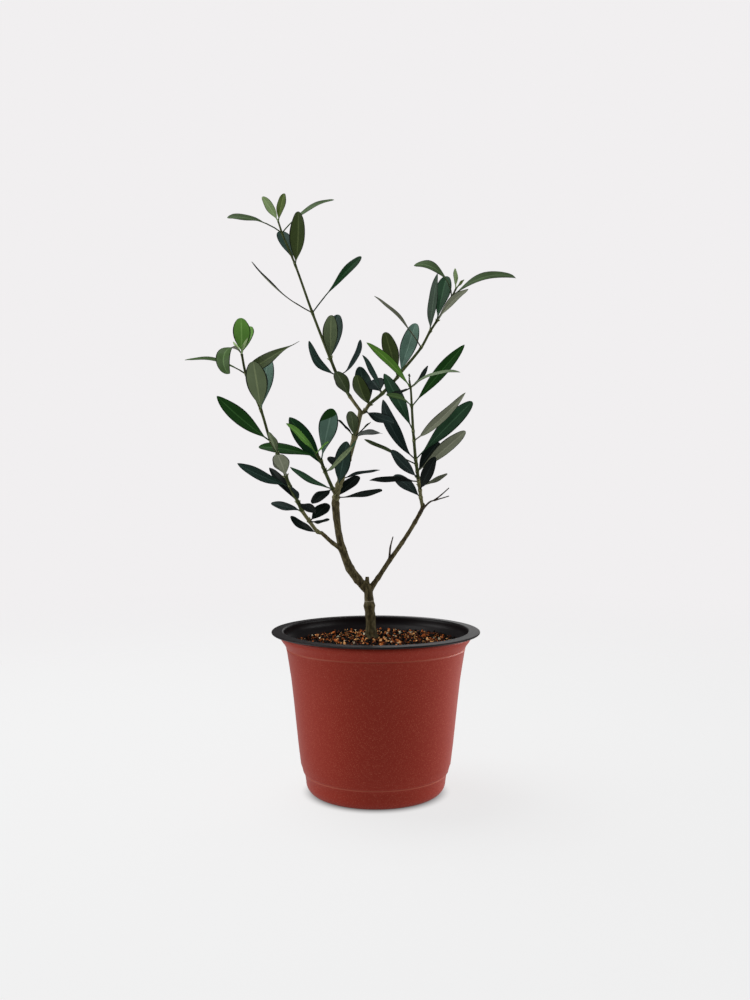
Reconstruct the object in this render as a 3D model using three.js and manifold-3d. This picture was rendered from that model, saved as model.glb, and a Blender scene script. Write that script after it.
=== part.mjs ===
// A young olive tree in a two-layer plastic pot. Millimetres, +Z up, the pot's flat underside at z = 0.
// The front is towards -Y. The tree forks just above the soil into a main stem and a right-hand bough,
// and carries its leaves, mostly in opposite pairs, on six leafy sprays.

import * as THREE from 'three';
import * as BufferGeometryUtils from 'three/addons/utils/BufferGeometryUtils.js';
import Module from 'manifold-3d';

const wasm = await Module();
wasm.setup();

// Driving dimensions of the pot.
const RIM_DIAMETER = 150;
const RIM_TOP = 115.4;
const FLANGE_WIDTH = 8;
const FLANGE_THICKNESS = 1.6;
const WALL = 0.9;
const GAP = 0.3;
const POT_SIDES = 36;
const WALL_TOP = RIM_TOP - FLANGE_THICKNESS - 2 * GAP;

// Heights are counted from a level this far above the pot's flat underside, and the finished solids are
// raised by as much.
const FOOT_DROP = 1.8;

// The pot's flat underside, and the rounding that leads from it to the side: a quarter of an ellipse.
const FLOOR_RADIUS = 42.5;
const FOOT_ROUND_WIDTH = 7.9;
const FOOT_ROUND_HEIGHT = 8.4;
const FOOT_ROUND_DEGREES = [22, 45, 68, 90];

// The pot's outer side from the foot up, as radius and height.
const POT_SIDE = [
  [51.3, 13],
  [52.5, 14.3],
  [54.2, 20],
  [57.7, 51.5],
  [60.9, 81],
  [64.4, 103],
  [65.3, 105.5],
  [68.5, 109.6],
  [68.7, WALL_TOP],
];

// The flange's section from its underside round to its inner edge: distance in from the rim and down from
// its top.
const FLANGE_SECTION = [
  [0.8, FLANGE_THICKNESS],
  [0, FLANGE_THICKNESS - 0.3],
  [0, 0.6],
  [0.8, 0.2],
  [FLANGE_WIDTH - 0.6, 0],
  [FLANGE_WIDTH + 0.3, 0.4],
];

// Drain holes in the floor of both layers.
const DRAIN_COUNT = 8;
const DRAIN_DIAMETER = 8;
const DRAIN_CIRCLE_RADIUS = 33;
const DRAIN_SIDES = 16;

// The soil's surface: level round the trunk, and a little lower at the wall.
const SOIL_EDGE = 103.6;
const SOIL_SHOULDER = 105.9;
const SOIL_TOP = 107.2;
const SOIL_LEVEL_RADIUS = 30;

// The block that cuts the trunk off flat just above the soil.
const CUT_WIDTH = 60;
const CUT_DEPTH = 20;

// Places on the plant are given as they look from straight in front: x to the right and z above the floor,
// in mm on the plane through the pot's axis, and how far behind (+) or before (-) that plane they lie.
const VIEW_DISTANCE = 768;
const VIEW_HEIGHT = 235;

// Sides of the limbs' section, and rings for each stretch between two named places.
const TRUNK_SIDES = 10;
const BOUGH_SIDES = 8;
const SPRAY_SIDES = 6;
const RINGS_PER_STRETCH = 2;

// The leaf: a thin lens, folded a little along its midrib, on a short stalk.
const LEAF_THICKNESS = 0.8;
const STALK_HALF_WIDTH = 0.55;
const STALK_THICKNESS = [1.1, 0.88];
const STALK_LENGTH = 3;
const TIP_HALF_WIDTH = 0.15;
const TIP_THICKNESS = 0.3;
const FOLD_SLOPE = 0.16;
const BLADE_STATIONS = [0.18, 0.42, 0.68, 0.9];
const USUAL_WIDEST = 0.55;
const LEAST_BEND = 0.02;

// How full the blade's outline is at its base and at its tip (lower is fuller). Blades that are broader than
// this share of their length, or widest beyond the usual place, have the blunt tip.
const BASE_FULLNESS = 0.85;
const POINTED_FULLNESS = 0.68;
const BLUNT_FULLNESS = 0.48;
const BLUNT_FROM = 0.3;

// Leaves keep this far from each other and from the limbs. One that is too near swings further back or
// forward by whole steps, and one that finds no clear place is left out.
const LEAF_CLEARANCE = 2.6;
const LIMB_CLEARANCE = 1.4;
const SWING_STEP = 4;
const SWING_TRIES = 11;
const SAMPLES_ALONG = 15;
const SAMPLES_ACROSS = 5;
const FIRST_SAMPLE = 0.25;
// Blades whose middles are further apart than this can't touch.
const BLADE_REACH = 70;

// How a leaf's hidden partner differs from it: the spread of its heading and the ranges of the factors for
// its length, depth and width, then its least bend and the spread of that.
const PARTNER_HEADING_SPREAD = 16;
const PARTNER_LENGTH = [0.75, 0.95];
const PARTNER_DEPTH = [0.8, 1.1];
const PARTNER_WIDTH = [0.9, 1.05];
const PARTNER_BEND = [-8, -24];

// Corners of a faceted surface that lie closer than this are one corner.
const WELD = 1e-4;

const FINISHES = {
  brick: { color: 0x7a2b22, roughness: 0.55, metalness: 0 },
  black: { color: 0x262427, roughness: 0.5, metalness: 0 },
  soil: { color: 0x3a2217, roughness: 0.95, metalness: 0 },
  bark: { color: 0x4a4430, roughness: 0.85, metalness: 0 },
  darkLeaf: { color: 0x2c4430, roughness: 0.6, metalness: 0 },
  oliveLeaf: { color: 0x4a5a3a, roughness: 0.6, metalness: 0 },
};

// A place on a limb: x, z and back as seen, and the limb's radius there.
const TRUNK = [
  [-2.9, 104, 14, 6.2],
  [-2.9, 109.6, 14, 4.7],
  [-3.4, 115, 14, 3.75],
  [-4, 126, 14, 3.45],
  [-4.6, 132.6, 14, 3.95],
  [-4.9, 138, 14, 3.15],
  [-6.2, 146, 14, 3.3],
];
const TRUNK_STUB = [
  [-6.2, 146, 14, 2.2],
  [-6.2, 150, 14.5, 1.4],
  [-6.2, 153.6, 15, 1.2],
];
const MAIN_STEM = [
  [-6.2, 145.6, 14, 3.1],
  [-12.8, 151.6, 14, 3.1],
  [-18.5, 159.5, 13.5, 3.0],
  [-24, 173.5, 12, 2.7],
  [-26.5, 183.7, 11, 2.35],
  [-28.2, 196, 9.5, 2.6],
  [-29, 206.5, 8, 2.8],
];
const LEFT_BOUGH = [
  [-23.6, 172.5, 12, 1.6],
  [-31, 178, 6, 1.5],
  [-38.7, 185, 0, 1.4],
];
const RIGHT_BOUGH = [
  [-5.6, 144.5, 14, 1.9],
  [1.6, 152.8, 17, 1.7],
  [10.2, 165.7, 21, 1.7],
  [18.8, 178, 25, 1.55],
  [28.2, 193, 29, 1.5],
  [33.9, 204.4, 31, 1.6],
];
// Dead twigs that stand on the right bough.
const DEAD_TWIGS = [
  [[9.8, 165.5, 21, 0.8], [10.4, 174.5, 19, 0.7], [12.4, 182.5, 17, 0.45]],
  [[31.5, 199.5, 30, 0.8], [39, 207.6, 28, 0.65], [43.4, 209, 27, 0.6], [52.6, 211.8, 23, 0.4]],
  [[42, 208.6, 27.3, 0.6], [47, 212.6, 28, 0.5], [52.6, 217.6, 30, 0.4]],
];

// A leaf as seen from the front: heading in degrees clockwise from straight up, length from root to tip,
// how far back (+) or forward (-) its tip lies from its root, its true width, how far its upper side is
// turned up from facing the front in degrees (180 shows the underside), how far it bends towards its upper
// side (-: it arches over), the length of its stalk, and the share of the blade's length where it is widest.
function leaf(heading, length, back, width, face, bend, stalk = STALK_LENGTH, widest = USUAL_WIDEST) {
  return { heading, length, back, width, face, bend, stalk, widest };
}
// A leaf whose opposite partner is hidden behind the stem or the leaf itself: the rule adds that partner.
const paired = (...sizes) => ({ ...leaf(...sizes), hasPartner: true });
// A node of a spray, with the leaves that stand there.
const node = (x, z, back, radius, ...leaves) => ({ place: [x, z, back, radius], leaves });

const LEFT_SPRAY = [
  node(-38.7, 185, 0, 1.35),
  node(-41.9, 186.2, -3, 1.3,
    leaf(-60, 22.3, 14, 7.4, 40, 58)),
  node(-47.7, 193.6, -8, 1.25,
    leaf(48, 18.5, 24, 9.5, 20, -10), leaf(86, 14.3, -14, 6, 60, 25)),
  node(-53.1, 201.3, -12.5, 1.22,
    leaf(-75.7, 22.7, 16, 7.5, 40, 10)),
  node(-55.7, 206.9, -16, 1.2,
    leaf(121, 14.1, -18, 8, 40, -15), leaf(-39.5, 32.7, 26, 7.5, 25, -8)),
  node(-61.6, 218.8, -22, 1.15,
    leaf(-66.6, 41.3, -10, 9.5, 38, 28), leaf(148, 10.5, -26, 4.5, 40, -20)),
  node(-64.4, 225.6, -26, 1.1,
    paired(-21, 17, -28, 11.2, 165, -20)),
  node(-70.2, 241.5, -32, 1.05,
    leaf(-22, 17.5, -24, 6, 140, -10)),
  node(-75.4, 251, -36, 1.0,
    leaf(-49.9, 50.4, 10, 12, 26, 24, 5)),
  node(-82.3, 273.2, -43, 0.95,
    leaf(-9, 35.3, -26, 14.5, 172, -12), leaf(8, 40, 24, 12, 10, -12)),
  node(-93, 299, -49, 0.85,
    leaf(-77, 45, -6, 7, 70, -50, 5), leaf(58.3, 44.9, 10, 11.5, 54, -20, STALK_LENGTH, 0.36)),
  node(-96, 313.5, -52, 0.75,
    leaf(-1, 25.6, 5, 11, 8, -20, 2), leaf(15.5, 19.5, 14, 8.5, 20, -25, 2),
    leaf(-146.6, 17, -7, 11, 58, -196, 2), leaf(-35, 10.7, 12, 2, 20, -10, 2),
    leaf(21, 12.2, -8, 2.4, 30, -30, 2)),
];

const SHORT_SPRAY = [
  node(-28.8, 212.5, 8, 1.35),
  node(-31, 217, 3, 1.3,
    leaf(-62.8, 34.3, 14, 8, 56, 30), leaf(-125.4, 18.3, -18, 9, 40, -20)),
  node(-36.3, 229, -8, 1.15,
    leaf(45, 31.5, -24, 10, 68, 22, STALK_LENGTH, 0.42)),
  node(-37.8, 232.5, -10.5, 1.1,
    leaf(-34, 43.2, 16, 12.4, 6, -12)),
  node(-39.2, 237, -15, 1.0,
    leaf(12, 38.4, -14, 13.5, 8, -14, STALK_LENGTH, 0.68)),
  node(-41, 239.4, -17.5, 0.97,
    leaf(-79.8, 43.7, 6, 8.8, 32, -32, STALK_LENGTH, 0.6)),
  node(-42.8, 242.3, -20, 0.9,
    leaf(-44.9, 30.5, -20, 8.4, 55, -14, 2), leaf(46.6, 12.9, -14, 2.4, 50, -10, 2)),
];

const CENTRE_SPRAY = [
  node(-29, 206, 8, 2.5),
  node(-28.6, 210.8, 8, 2.4,
    leaf(47.3, 22.4, 30, 9, 25, -12), leaf(80, 33.5, -16, 8.5, 65, 12, STALK_LENGTH, 0.68)),
  node(-26.6, 219.5, 10.5, 2.2,
    leaf(11, 32, -22, 12.6, 20, -12)),
  node(-25, 224, 12, 2.15,
    leaf(77, 28.7, 22, 8, 70, -10)),
  node(-23, 229.5, 13.5, 2.1,
    leaf(-46, 15, 26, 8, 30, -10)),
  node(-19.8, 238, 16, 2.0),
  node(-15.2, 254, 19, 1.9,
    leaf(-8.9, 18.8, -38, 8.8, 168, -14), leaf(-44.3, 17.3, -20, 6, 74, -10),
    leaf(79, 18.8, 34, 9, 61, -26, STALK_LENGTH, 0.65), leaf(47, 16, -8, 3, 70, -4)),
  node(-10.6, 273, 22, 1.8),
];

const CROWN_LEFT_SPRAY = [
  node(-10.8, 272.5, 22, 1.25),
  node(-18.4, 283, 26, 1.2,
    paired(-29, 20.5, -32, 9.8, 165, -14)),
  node(-27.5, 298.2, 32, 1.15,
    leaf(-40.2, 31.8, -14, 11.5, 55, 78), leaf(32.8, 30.3, 20, 9.5, 66, 84, 8, 0.68)),
  node(-32.3, 309.6, 36, 1.1,
    leaf(0.5, 31.5, -30, 11.6, 168, -12), leaf(9, 32.3, 28, 12.4, 12, -12)),
  node(-45.3, 342.8, 46, 1.0,
    leaf(-50, 56.5, 8, 9, 80, 26, 14), leaf(41.3, 53.1, -10, 9, 45, -14, 16, 0.66)),
  node(-57.5, 376.9, 54, 0.85,
    leaf(3, 37.8, -24, 13.6, 150, 22), leaf(-24, 26, 34, 11, 20, -12, STALK_LENGTH, 0.68)),
  node(-66.8, 399.4, 59, 0.75,
    leaf(-74.5, 40.5, -12, 9, 60, -50, 14, 0.64), leaf(57.5, 43.7, 14, 8.5, 70, -42, 8)),
  node(-69.5, 407.6, 61, 0.65,
    leaf(-33, 20.8, -8, 7.6, 30, -14, 2), leaf(12, 20.2, 8, 7.2, 25, -12, 2)),
];

const CROWN_RIGHT_SPRAY = [
  node(-10.6, 270.8, 22, 1.3),
  node(-8, 272.6, 23, 1.3,
    leaf(111.5, 22.3, -24, 9.6, 38, 12)),
  node(-4.6, 277.5, 25, 1.25,
    leaf(-23, 22.8, -32, 12.6, 150, 34), leaf(-14, 27.8, 28, 13, 20, 20)),
  node(4.5, 285.2, 28, 1.2,
    leaf(-27, 31, -4, 7, 52, -12), leaf(-38, 12, 32, 15, 20, -20)),
  node(15.5, 297, 31, 1.1,
    leaf(-15.5, 33.2, -26, 11.5, 168, -12)),
  node(17.4, 299.6, 31.5, 1.08,
    leaf(17.5, 37.4, 20, 12.6, 10, -12)),
  node(32.5, 318.1, 34, 1.0,
    leaf(-42.5, 49.6, 8, 8.5, 70, -26, 14)),
  node(38.6, 329.2, 36, 0.95,
    leaf(7.5, 42, -10, 8.5, 66, -3, 5)),
  node(43.6, 336.9, 38, 0.9,
    leaf(12.5, 32.6, 24, 12.3, 14, -10, STALK_LENGTH, 0.62), leaf(44.5, 32, -24, 7.2, 140, -40)),
  node(54.2, 354, 40, 0.75,
    leaf(-49.5, 35, -10, 10.5, 58, -114, 10, 0.68), leaf(73, 47.4, 10, 10, 60, -70)),
  node(57.2, 359.7, 41, 0.65,
    leaf(-2.5, 14.8, -2, 4, 30, -4, 2), leaf(41, 9, 3, 2.6, 40, -6, 2)),
];

const RIGHT_SPRAY = [
  node(33.6, 204.2, 31, 1.35),
  node(32.4, 210.7, 28, 1.3,
    leaf(-50, 25, 30, 9.5, 20, -12)),
  node(31.8, 216, 26, 1.27,
    leaf(25.5, 26.2, -32, 9.6, 25, -12)),
  node(31.3, 219.6, 24, 1.24,
    leaf(67, 21.5, 22, 8, 68, 28)),
  node(30.9, 222.2, 22.5, 1.2,
    leaf(-88.6, 35.4, 16, 9, 63, -10)),
  node(30.5, 224.7, 21, 1.2,
    leaf(-45, 28, -28, 8.5, 22, 12)),
  node(29.8, 229.5, 18, 1.15,
    leaf(50, 45, -16, 10.3, 155, 6, STALK_LENGTH, 0.6), leaf(36, 26, 32, 10, 20, -12)),
  node(29.1, 234.6, 14.5, 1.12,
    leaf(-64.3, 41.2, 28, 8.5, 68, 2, 12, 0.66)),
  node(28.6, 238, 12, 1.1,
    leaf(44.3, 58, 14, 12.2, 14, -12, 7, 0.6), leaf(-28.7, 49, 10, 10.5, 44, 58, 5)),
  node(27.4, 251.5, 4, 1.03,
    leaf(46.9, 50.5, -16, 8.8, 150, 28, 6, 0.42)),
  node(26.8, 258.5, 0, 1.0,
    leaf(-27, 46, 22, 10.5, 14, -12, 5)),
  node(25.8, 276, -10, 0.9,
    leaf(40.5, 58, 10, 9, 12, -12, 6), leaf(-66, 20, -32, 8, 62, -30)),
  node(24.9, 289.6, -18, 0.75,
    leaf(-44.6, 45, -12, 7.4, 36, -32), leaf(38, 19.5, 28, 7, 70, 25),
    leaf(73, 37.2, -12, 6.5, 70, -52), leaf(-108.5, 17, 24, 6, 62, 20)),
  node(24, 294.5, -20, 0.6,
    leaf(-2, 5, -1, 2, 40, -6, 2)),
];

// A repeatable run of numbers from 0 to 1, so that every build gives the same plant.
function seededRule(seed) {
  let state = seed >>> 0;
  return () => {
    state = (Math.imul(state, 1664525) + 1013904223) >>> 0;
    return state / 4294967296;
  };
}

// The point in space of a place that is given as it looks from the front.
function inSpace([x, z, back]) {
  const reach = 1 + back / VIEW_DISTANCE;
  return new THREE.Vector3(x * reach, back, VIEW_HEIGHT + (z - VIEW_HEIGHT) * reach);
}

function asSolid(geometry) {
  const bare = geometry.index ? geometry.toNonIndexed() : geometry.clone();
  bare.deleteAttribute('normal');
  bare.deleteAttribute('uv');
  const merged = BufferGeometryUtils.mergeVertices(bare, WELD);
  const mesh = new wasm.Mesh({
    numProp: 3,
    vertProperties: new Float32Array(merged.attributes.position.array),
    triVerts: new Uint32Array(merged.index.array),
  });
  return new wasm.Manifold(mesh);
}

function asGeometry(solid) {
  const mesh = solid.getMesh();
  const geometry = new THREE.BufferGeometry();
  geometry.setAttribute('position', new THREE.BufferAttribute(new Float32Array(mesh.vertProperties), 3));
  geometry.setIndex(new THREE.BufferAttribute(new Uint32Array(mesh.triVerts), 1));
  geometry.computeVertexNormals();
  return geometry;
}

// A solid through rings of equally many points, with a fan over each end. The rings run counter-clockwise
// when seen from the far end.
function loft(rings) {
  const count = rings[0].length;
  const positions = rings.flat().flatMap((point) => [point.x, point.y, point.z]);
  const index = [];
  for (let ring = 0; ring + 1 < rings.length; ring += 1) {
    for (let side = 0; side < count; side += 1) {
      const near = ring * count + side;
      const nearNext = ring * count + ((side + 1) % count);
      index.push(near, nearNext, near + count, nearNext, nearNext + count, near + count);
    }
  }
  const last = (rings.length - 1) * count;
  for (let side = 1; side + 1 < count; side += 1) {
    index.push(0, side + 1, side);
    index.push(last, last + side, last + side + 1);
  }
  const geometry = new THREE.BufferGeometry();
  geometry.setAttribute('position', new THREE.Float32BufferAttribute(positions, 3));
  geometry.setIndex(index);
  return asSolid(geometry);
}

// A limb's smooth centre line through its places: points with the limb's radius at each.
function centreLine(places) {
  const curve = new THREE.CatmullRomCurve3(places.map(inSpace), false, 'centripetal');
  const line = [];
  const stretches = places.length - 1;
  for (let step = 0; step <= stretches * RINGS_PER_STRETCH; step += 1) {
    const along = step / RINGS_PER_STRETCH;
    const first = Math.min(Math.floor(along), stretches - 1);
    const radius = THREE.MathUtils.lerp(places[first][3], places[first + 1][3], along - first);
    line.push({ point: curve.getPoint(along / stretches), radius });
  }
  return line;
}

// A tapering limb round a centre line. The frame is carried along the line without twist. A grown limb is
// fatter and longer all round, for cutting its neighbours clear of it.
function limb(line, sides, grow = 0) {
  const across = new THREE.Vector3(1, 0, 0);
  const rings = line.map(({ point, radius }, at) => {
    const before = line[Math.max(at - 1, 0)].point;
    const after = line[Math.min(at + 1, line.length - 1)].point;
    const along = after.clone().sub(before).normalize();
    across.addScaledVector(along, -across.dot(along)).normalize();
    const third = along.clone().cross(across);
    const end = at === line.length - 1 ? grow : 0;
    const ring = [];
    for (let side = 0; side < sides; side += 1) {
      const turn = (2 * Math.PI * side) / sides;
      ring.push(point.clone()
        .addScaledVector(along, end)
        .addScaledVector(across, Math.cos(turn) * (radius + grow))
        .addScaledVector(third, Math.sin(turn) * (radius + grow)));
    }
    return ring;
  });
  return loft(rings);
}

// The frame of a leaf in space: root, tip, chord direction, the direction that its upper side faces, and
// the direction across it.
function leafFrame(root, sizes) {
  const seenReach = 1 + root.y / VIEW_DISTANCE;
  const heading = THREE.MathUtils.degToRad(sizes.heading);
  const tip = inSpace([
    root.x / seenReach + sizes.length * Math.sin(heading),
    VIEW_HEIGHT + (root.z - VIEW_HEIGHT) / seenReach + sizes.length * Math.cos(heading),
    root.y + sizes.back,
  ]);
  const chord = tip.clone().sub(root);
  const length = chord.length();
  chord.normalize();
  const toViewer = new THREE.Vector3(0, -VIEW_DISTANCE, VIEW_HEIGHT).sub(root).normalize();
  const facing = toViewer.addScaledVector(chord, -toViewer.dot(chord)).normalize();
  const upward = chord.clone().cross(facing);
  if (upward.z <= 0) upward.negate();
  const turn = THREE.MathUtils.degToRad(sizes.face);
  const upper = facing.multiplyScalar(Math.cos(turn)).addScaledVector(upward, Math.sin(turn)).normalize();
  const across = chord.clone().cross(upper);
  return { root, length, chord, upper, across };
}

// The point at a share of the leaf's length: along a circular arc over the chord, then sideways.
function leafPoint(frame, sizes, share, sideways, raise) {
  const bend = THREE.MathUtils.degToRad(sizes.bend);
  const arc = Math.max(Math.abs(bend), LEAST_BEND);
  const over = bend > 0 ? -1 : 1;
  const radius = frame.length / (2 * Math.sin(arc / 2));
  const angle = (share - 0.5) * arc;
  const alongChord = frame.length / 2 + radius * Math.sin(angle);
  const above = over * radius * (Math.cos(angle) - Math.cos(arc / 2));
  const localUp = frame.upper.clone().multiplyScalar(Math.cos(angle))
    .addScaledVector(frame.chord, over * Math.sin(angle));
  return frame.root.clone()
    .addScaledVector(frame.chord, alongChord)
    .addScaledVector(frame.upper, above)
    .addScaledVector(localUp, raise)
    .addScaledVector(frame.across, sideways);
}

// Half the blade's width at a share of the blade's own length: a sine hump, filled out and skewed so that it
// is highest where the blade is widest.
function halfWidth({ width, length, widest }, share) {
  const isBlunt = width / length > BLUNT_FROM || widest > USUAL_WIDEST;
  const tip = isBlunt ? BLUNT_FULLNESS : POINTED_FULLNESS;
  const hump = Math.sin(Math.PI * share ** (Math.log(0.5) / Math.log(widest)));
  return (width / 2) * Math.max(hump, 0) ** THREE.MathUtils.lerp(BASE_FULLNESS, tip, share);
}

function bladeStart(frame, sizes) {
  return sizes.stalk / frame.length;
}

// One leaf as a closed solid: a square stalk that widens into a folded lens and ends in a point.
function leafSolid(frame, sizes) {
  const start = bladeStart(frame, sizes);
  const section = (share, half, thick, fold) => [
    leafPoint(frame, sizes, share, -half, fold),
    leafPoint(frame, sizes, share, 0, thick / 2),
    leafPoint(frame, sizes, share, half, fold),
    leafPoint(frame, sizes, share, 0, -thick / 2),
  ];
  const rings = [
    section(0, STALK_HALF_WIDTH, STALK_THICKNESS[0], 0),
    section(start, STALK_HALF_WIDTH, STALK_THICKNESS[1], 0),
  ];
  for (const station of BLADE_STATIONS) {
    const half = halfWidth(sizes, station);
    rings.push(section(start + (1 - start) * station, half, LEAF_THICKNESS, half * FOLD_SLOPE));
  }
  rings.push(section(1, TIP_HALF_WIDTH, TIP_THICKNESS, 0));
  return loft(rings);
}

// Points spread over a blade, for telling how near it comes to its neighbours.
function bladeSamples(frame, sizes) {
  const samples = [];
  const start = bladeStart(frame, sizes);
  for (let row = 0; row < SAMPLES_ALONG; row += 1) {
    const share = FIRST_SAMPLE + ((1 - FIRST_SAMPLE) * row) / (SAMPLES_ALONG - 1);
    const bladeShare = Math.min(Math.max((share - start) / (1 - start), 0), 1);
    const half = halfWidth(sizes, bladeShare);
    for (let column = 0; column < SAMPLES_ACROSS; column += 1) {
      const side = (2 * column) / (SAMPLES_ACROSS - 1) - 1;
      samples.push(leafPoint(frame, sizes, share, side * half, Math.abs(side) * half * FOLD_SLOPE));
    }
  }
  return samples;
}

// Everything that later leaves keep clear of.
const placedBlades = [];
const placedLimbs = [];

function isClear(samples) {
  for (const point of samples) {
    for (const spot of placedLimbs) {
      if (point.distanceTo(spot.point) < spot.radius + LIMB_CLEARANCE) return false;
    }
  }
  const middle = samples[Math.floor(samples.length / 2)];
  for (const other of placedBlades) {
    const otherMiddle = other[Math.floor(other.length / 2)];
    if (middle.distanceTo(otherMiddle) > BLADE_REACH) continue;
    for (const point of samples) {
      for (const spot of other) {
        if (point.distanceToSquared(spot) < LEAF_CLEARANCE * LEAF_CLEARANCE) return false;
      }
    }
  }
  return true;
}

// The steps by which a leaf swings: none, one back, one forward, two back and so on.
function swing(attempt) {
  const steps = Math.ceil(attempt / 2);
  return (attempt % 2 === 1 ? steps : -steps) * SWING_STEP;
}

function settleLeaf(root, sizes) {
  for (let attempt = 0; attempt < SWING_TRIES; attempt += 1) {
    const swung = { ...sizes, back: sizes.back + swing(attempt) };
    const frame = leafFrame(root, swung);
    const samples = bladeSamples(frame, swung);
    if (isClear(samples)) {
      placedBlades.push(samples);
      return leafSolid(frame, swung);
    }
  }
  return null;
}

// The hidden partner of a leaf: turned half a turn about the stem, with sizes drawn by the seeded rule.
function partnerOf(sizes, draw) {
  const between = ([first, last]) => THREE.MathUtils.lerp(first, last, draw());
  return {
    ...sizes,
    heading: sizes.heading + (draw() - 0.5) * PARTNER_HEADING_SPREAD,
    length: sizes.length * between(PARTNER_LENGTH),
    back: -sizes.back * between(PARTNER_DEPTH),
    width: sizes.width * between(PARTNER_WIDTH),
    face: 180 - sizes.face,
    bend: between(PARTNER_BEND),
  };
}

// The nodes of the seen leaves are settled first, so the hidden partners find the room that is left.
function spraySolid(nodes, seed) {
  const draw = seededRule(seed);
  const line = centreLine(nodes.map(({ place }) => place));
  let solid = limb(line, SPRAY_SIDES);
  const partners = [];
  for (const { place, leaves } of nodes) {
    const root = inSpace(place);
    for (const sizes of leaves) {
      const blade = settleLeaf(root, sizes);
      if (blade) solid = solid.add(blade);
      if (sizes.hasPartner) partners.push([root, partnerOf(sizes, draw)]);
    }
  }
  for (const [root, sizes] of partners) {
    const blade = settleLeaf(root, sizes);
    if (blade) solid = solid.add(blade);
  }
  return solid;
}

function largestPiece(solid) {
  const pieces = solid.decompose();
  return pieces.reduce((best, piece) => (piece.volume() > best.volume() ? piece : best));
}

function standInWay(line) {
  for (let at = 0; at + 1 < line.length; at += 1) {
    const reach = line[at].point.distanceTo(line[at + 1].point);
    const count = Math.max(1, Math.round(reach));
    for (let step = 0; step < count; step += 1) {
      placedLimbs.push({
        point: line[at].point.clone().lerp(line[at + 1].point, step / count),
        radius: THREE.MathUtils.lerp(line[at].radius, line[at + 1].radius, step / count),
      });
    }
  }
}

function lathe(profile, sides) {
  const outline = profile.map(([radius, height]) => new THREE.Vector2(radius, height));
  const geometry = new THREE.LatheGeometry(outline, sides);
  geometry.rotateX(Math.PI / 2);
  return asSolid(geometry);
}

// The outline of one surface of the pot, from the middle of its floor up the side. The surfaces inside are
// the outer one moved inwards.
function surfaceInwards(inwards) {
  const floor = inwards - FOOT_DROP;
  const rounding = FOOT_ROUND_DEGREES.map((degrees) => {
    const angle = THREE.MathUtils.degToRad(degrees);
    return [
      FLOOR_RADIUS + (FOOT_ROUND_WIDTH - inwards) * Math.sin(angle),
      floor + (FOOT_ROUND_HEIGHT - inwards) * (1 - Math.cos(angle)),
    ];
  });
  const side = POT_SIDE.map(([radius, height]) => [radius - inwards, height]);
  return [[0, floor], [FLOOR_RADIUS, floor], ...rounding, ...side];
}

function drainHoles() {
  let holes = null;
  for (let hole = 0; hole < DRAIN_COUNT; hole += 1) {
    const angle = (2 * Math.PI * hole) / DRAIN_COUNT;
    const pin = new THREE.CylinderGeometry(DRAIN_DIAMETER / 2, DRAIN_DIAMETER / 2, 6 * WALL, DRAIN_SIDES);
    pin.rotateX(Math.PI / 2);
    pin.translate(
      DRAIN_CIRCLE_RADIUS * Math.cos(angle),
      DRAIN_CIRCLE_RADIUS * Math.sin(angle),
      WALL - FOOT_DROP,
    );
    holes = holes ? holes.add(asSolid(pin)) : asSolid(pin);
  }
  return holes;
}

// The brick-red outer layer, from the flat underside to the edge under the flange.
function potWall() {
  const profile = [...surfaceInwards(0), ...surfaceInwards(WALL).reverse()];
  return lathe(profile, POT_SIDES).subtract(drainHoles());
}

// The black inner layer, with the flat flange that rolls over the wall's edge.
function potLining() {
  const outer = surfaceInwards(WALL + GAP);
  const neckRadius = outer[outer.length - 1][0];
  const flange = FLANGE_SECTION.map(([inwards, down]) => [RIM_DIAMETER / 2 - inwards, RIM_TOP - down]);
  const profile = [...outer, [neckRadius, RIM_TOP - FLANGE_THICKNESS], ...flange,
    ...surfaceInwards(2 * WALL + GAP).reverse()];
  return lathe(profile, POT_SIDES).subtract(drainHoles());
}

function soil() {
  const side = surfaceInwards(2 * (WALL + GAP)).filter(([, height]) => height < SOIL_EDGE - 1);
  const edgeRadius = side[side.length - 1][0] + 0.5;
  const shoulderRadius = (edgeRadius + SOIL_LEVEL_RADIUS) / 2;
  const profile = [...side, [edgeRadius, SOIL_EDGE], [shoulderRadius, SOIL_SHOULDER],
    [SOIL_LEVEL_RADIUS, SOIL_TOP], [0, SOIL_TOP]];
  return lathe(profile, POT_SIDES);
}

// The trunk ends in a flat cut just above the soil.
function trunkSolid(line) {
  const cut = new THREE.BoxGeometry(CUT_WIDTH, CUT_WIDTH, CUT_DEPTH);
  cut.translate(0, 0, SOIL_TOP + GAP - CUT_DEPTH / 2);
  return limb(line, TRUNK_SIDES)
    .add(limb(centreLine(TRUNK_STUB), SPRAY_SIDES))
    .subtract(asSolid(cut));
}

const tree = new THREE.Group();

function addNode(name, solid, finish) {
  const raised = largestPiece(solid).translate([0, 0, FOOT_DROP]);
  const mesh = new THREE.Mesh(asGeometry(raised), new THREE.MeshStandardMaterial(finish));
  mesh.name = name;
  tree.add(mesh);
}

addNode('pot_wall', potWall(), FINISHES.brick);
addNode('pot_lining', potLining(), FINISHES.black);
addNode('soil', soil(), FINISHES.soil);

// The limbs, each cut 0.3 mm clear of the one that carries it.
const trunkLine = centreLine(TRUNK);
const mainLine = centreLine(MAIN_STEM);
const leftLine = centreLine(LEFT_BOUGH);
const rightLine = centreLine(RIGHT_BOUGH);
const twigLines = DEAD_TWIGS.map(centreLine);
for (const line of [trunkLine, mainLine, leftLine, rightLine, ...twigLines]) standInWay(line);

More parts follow.
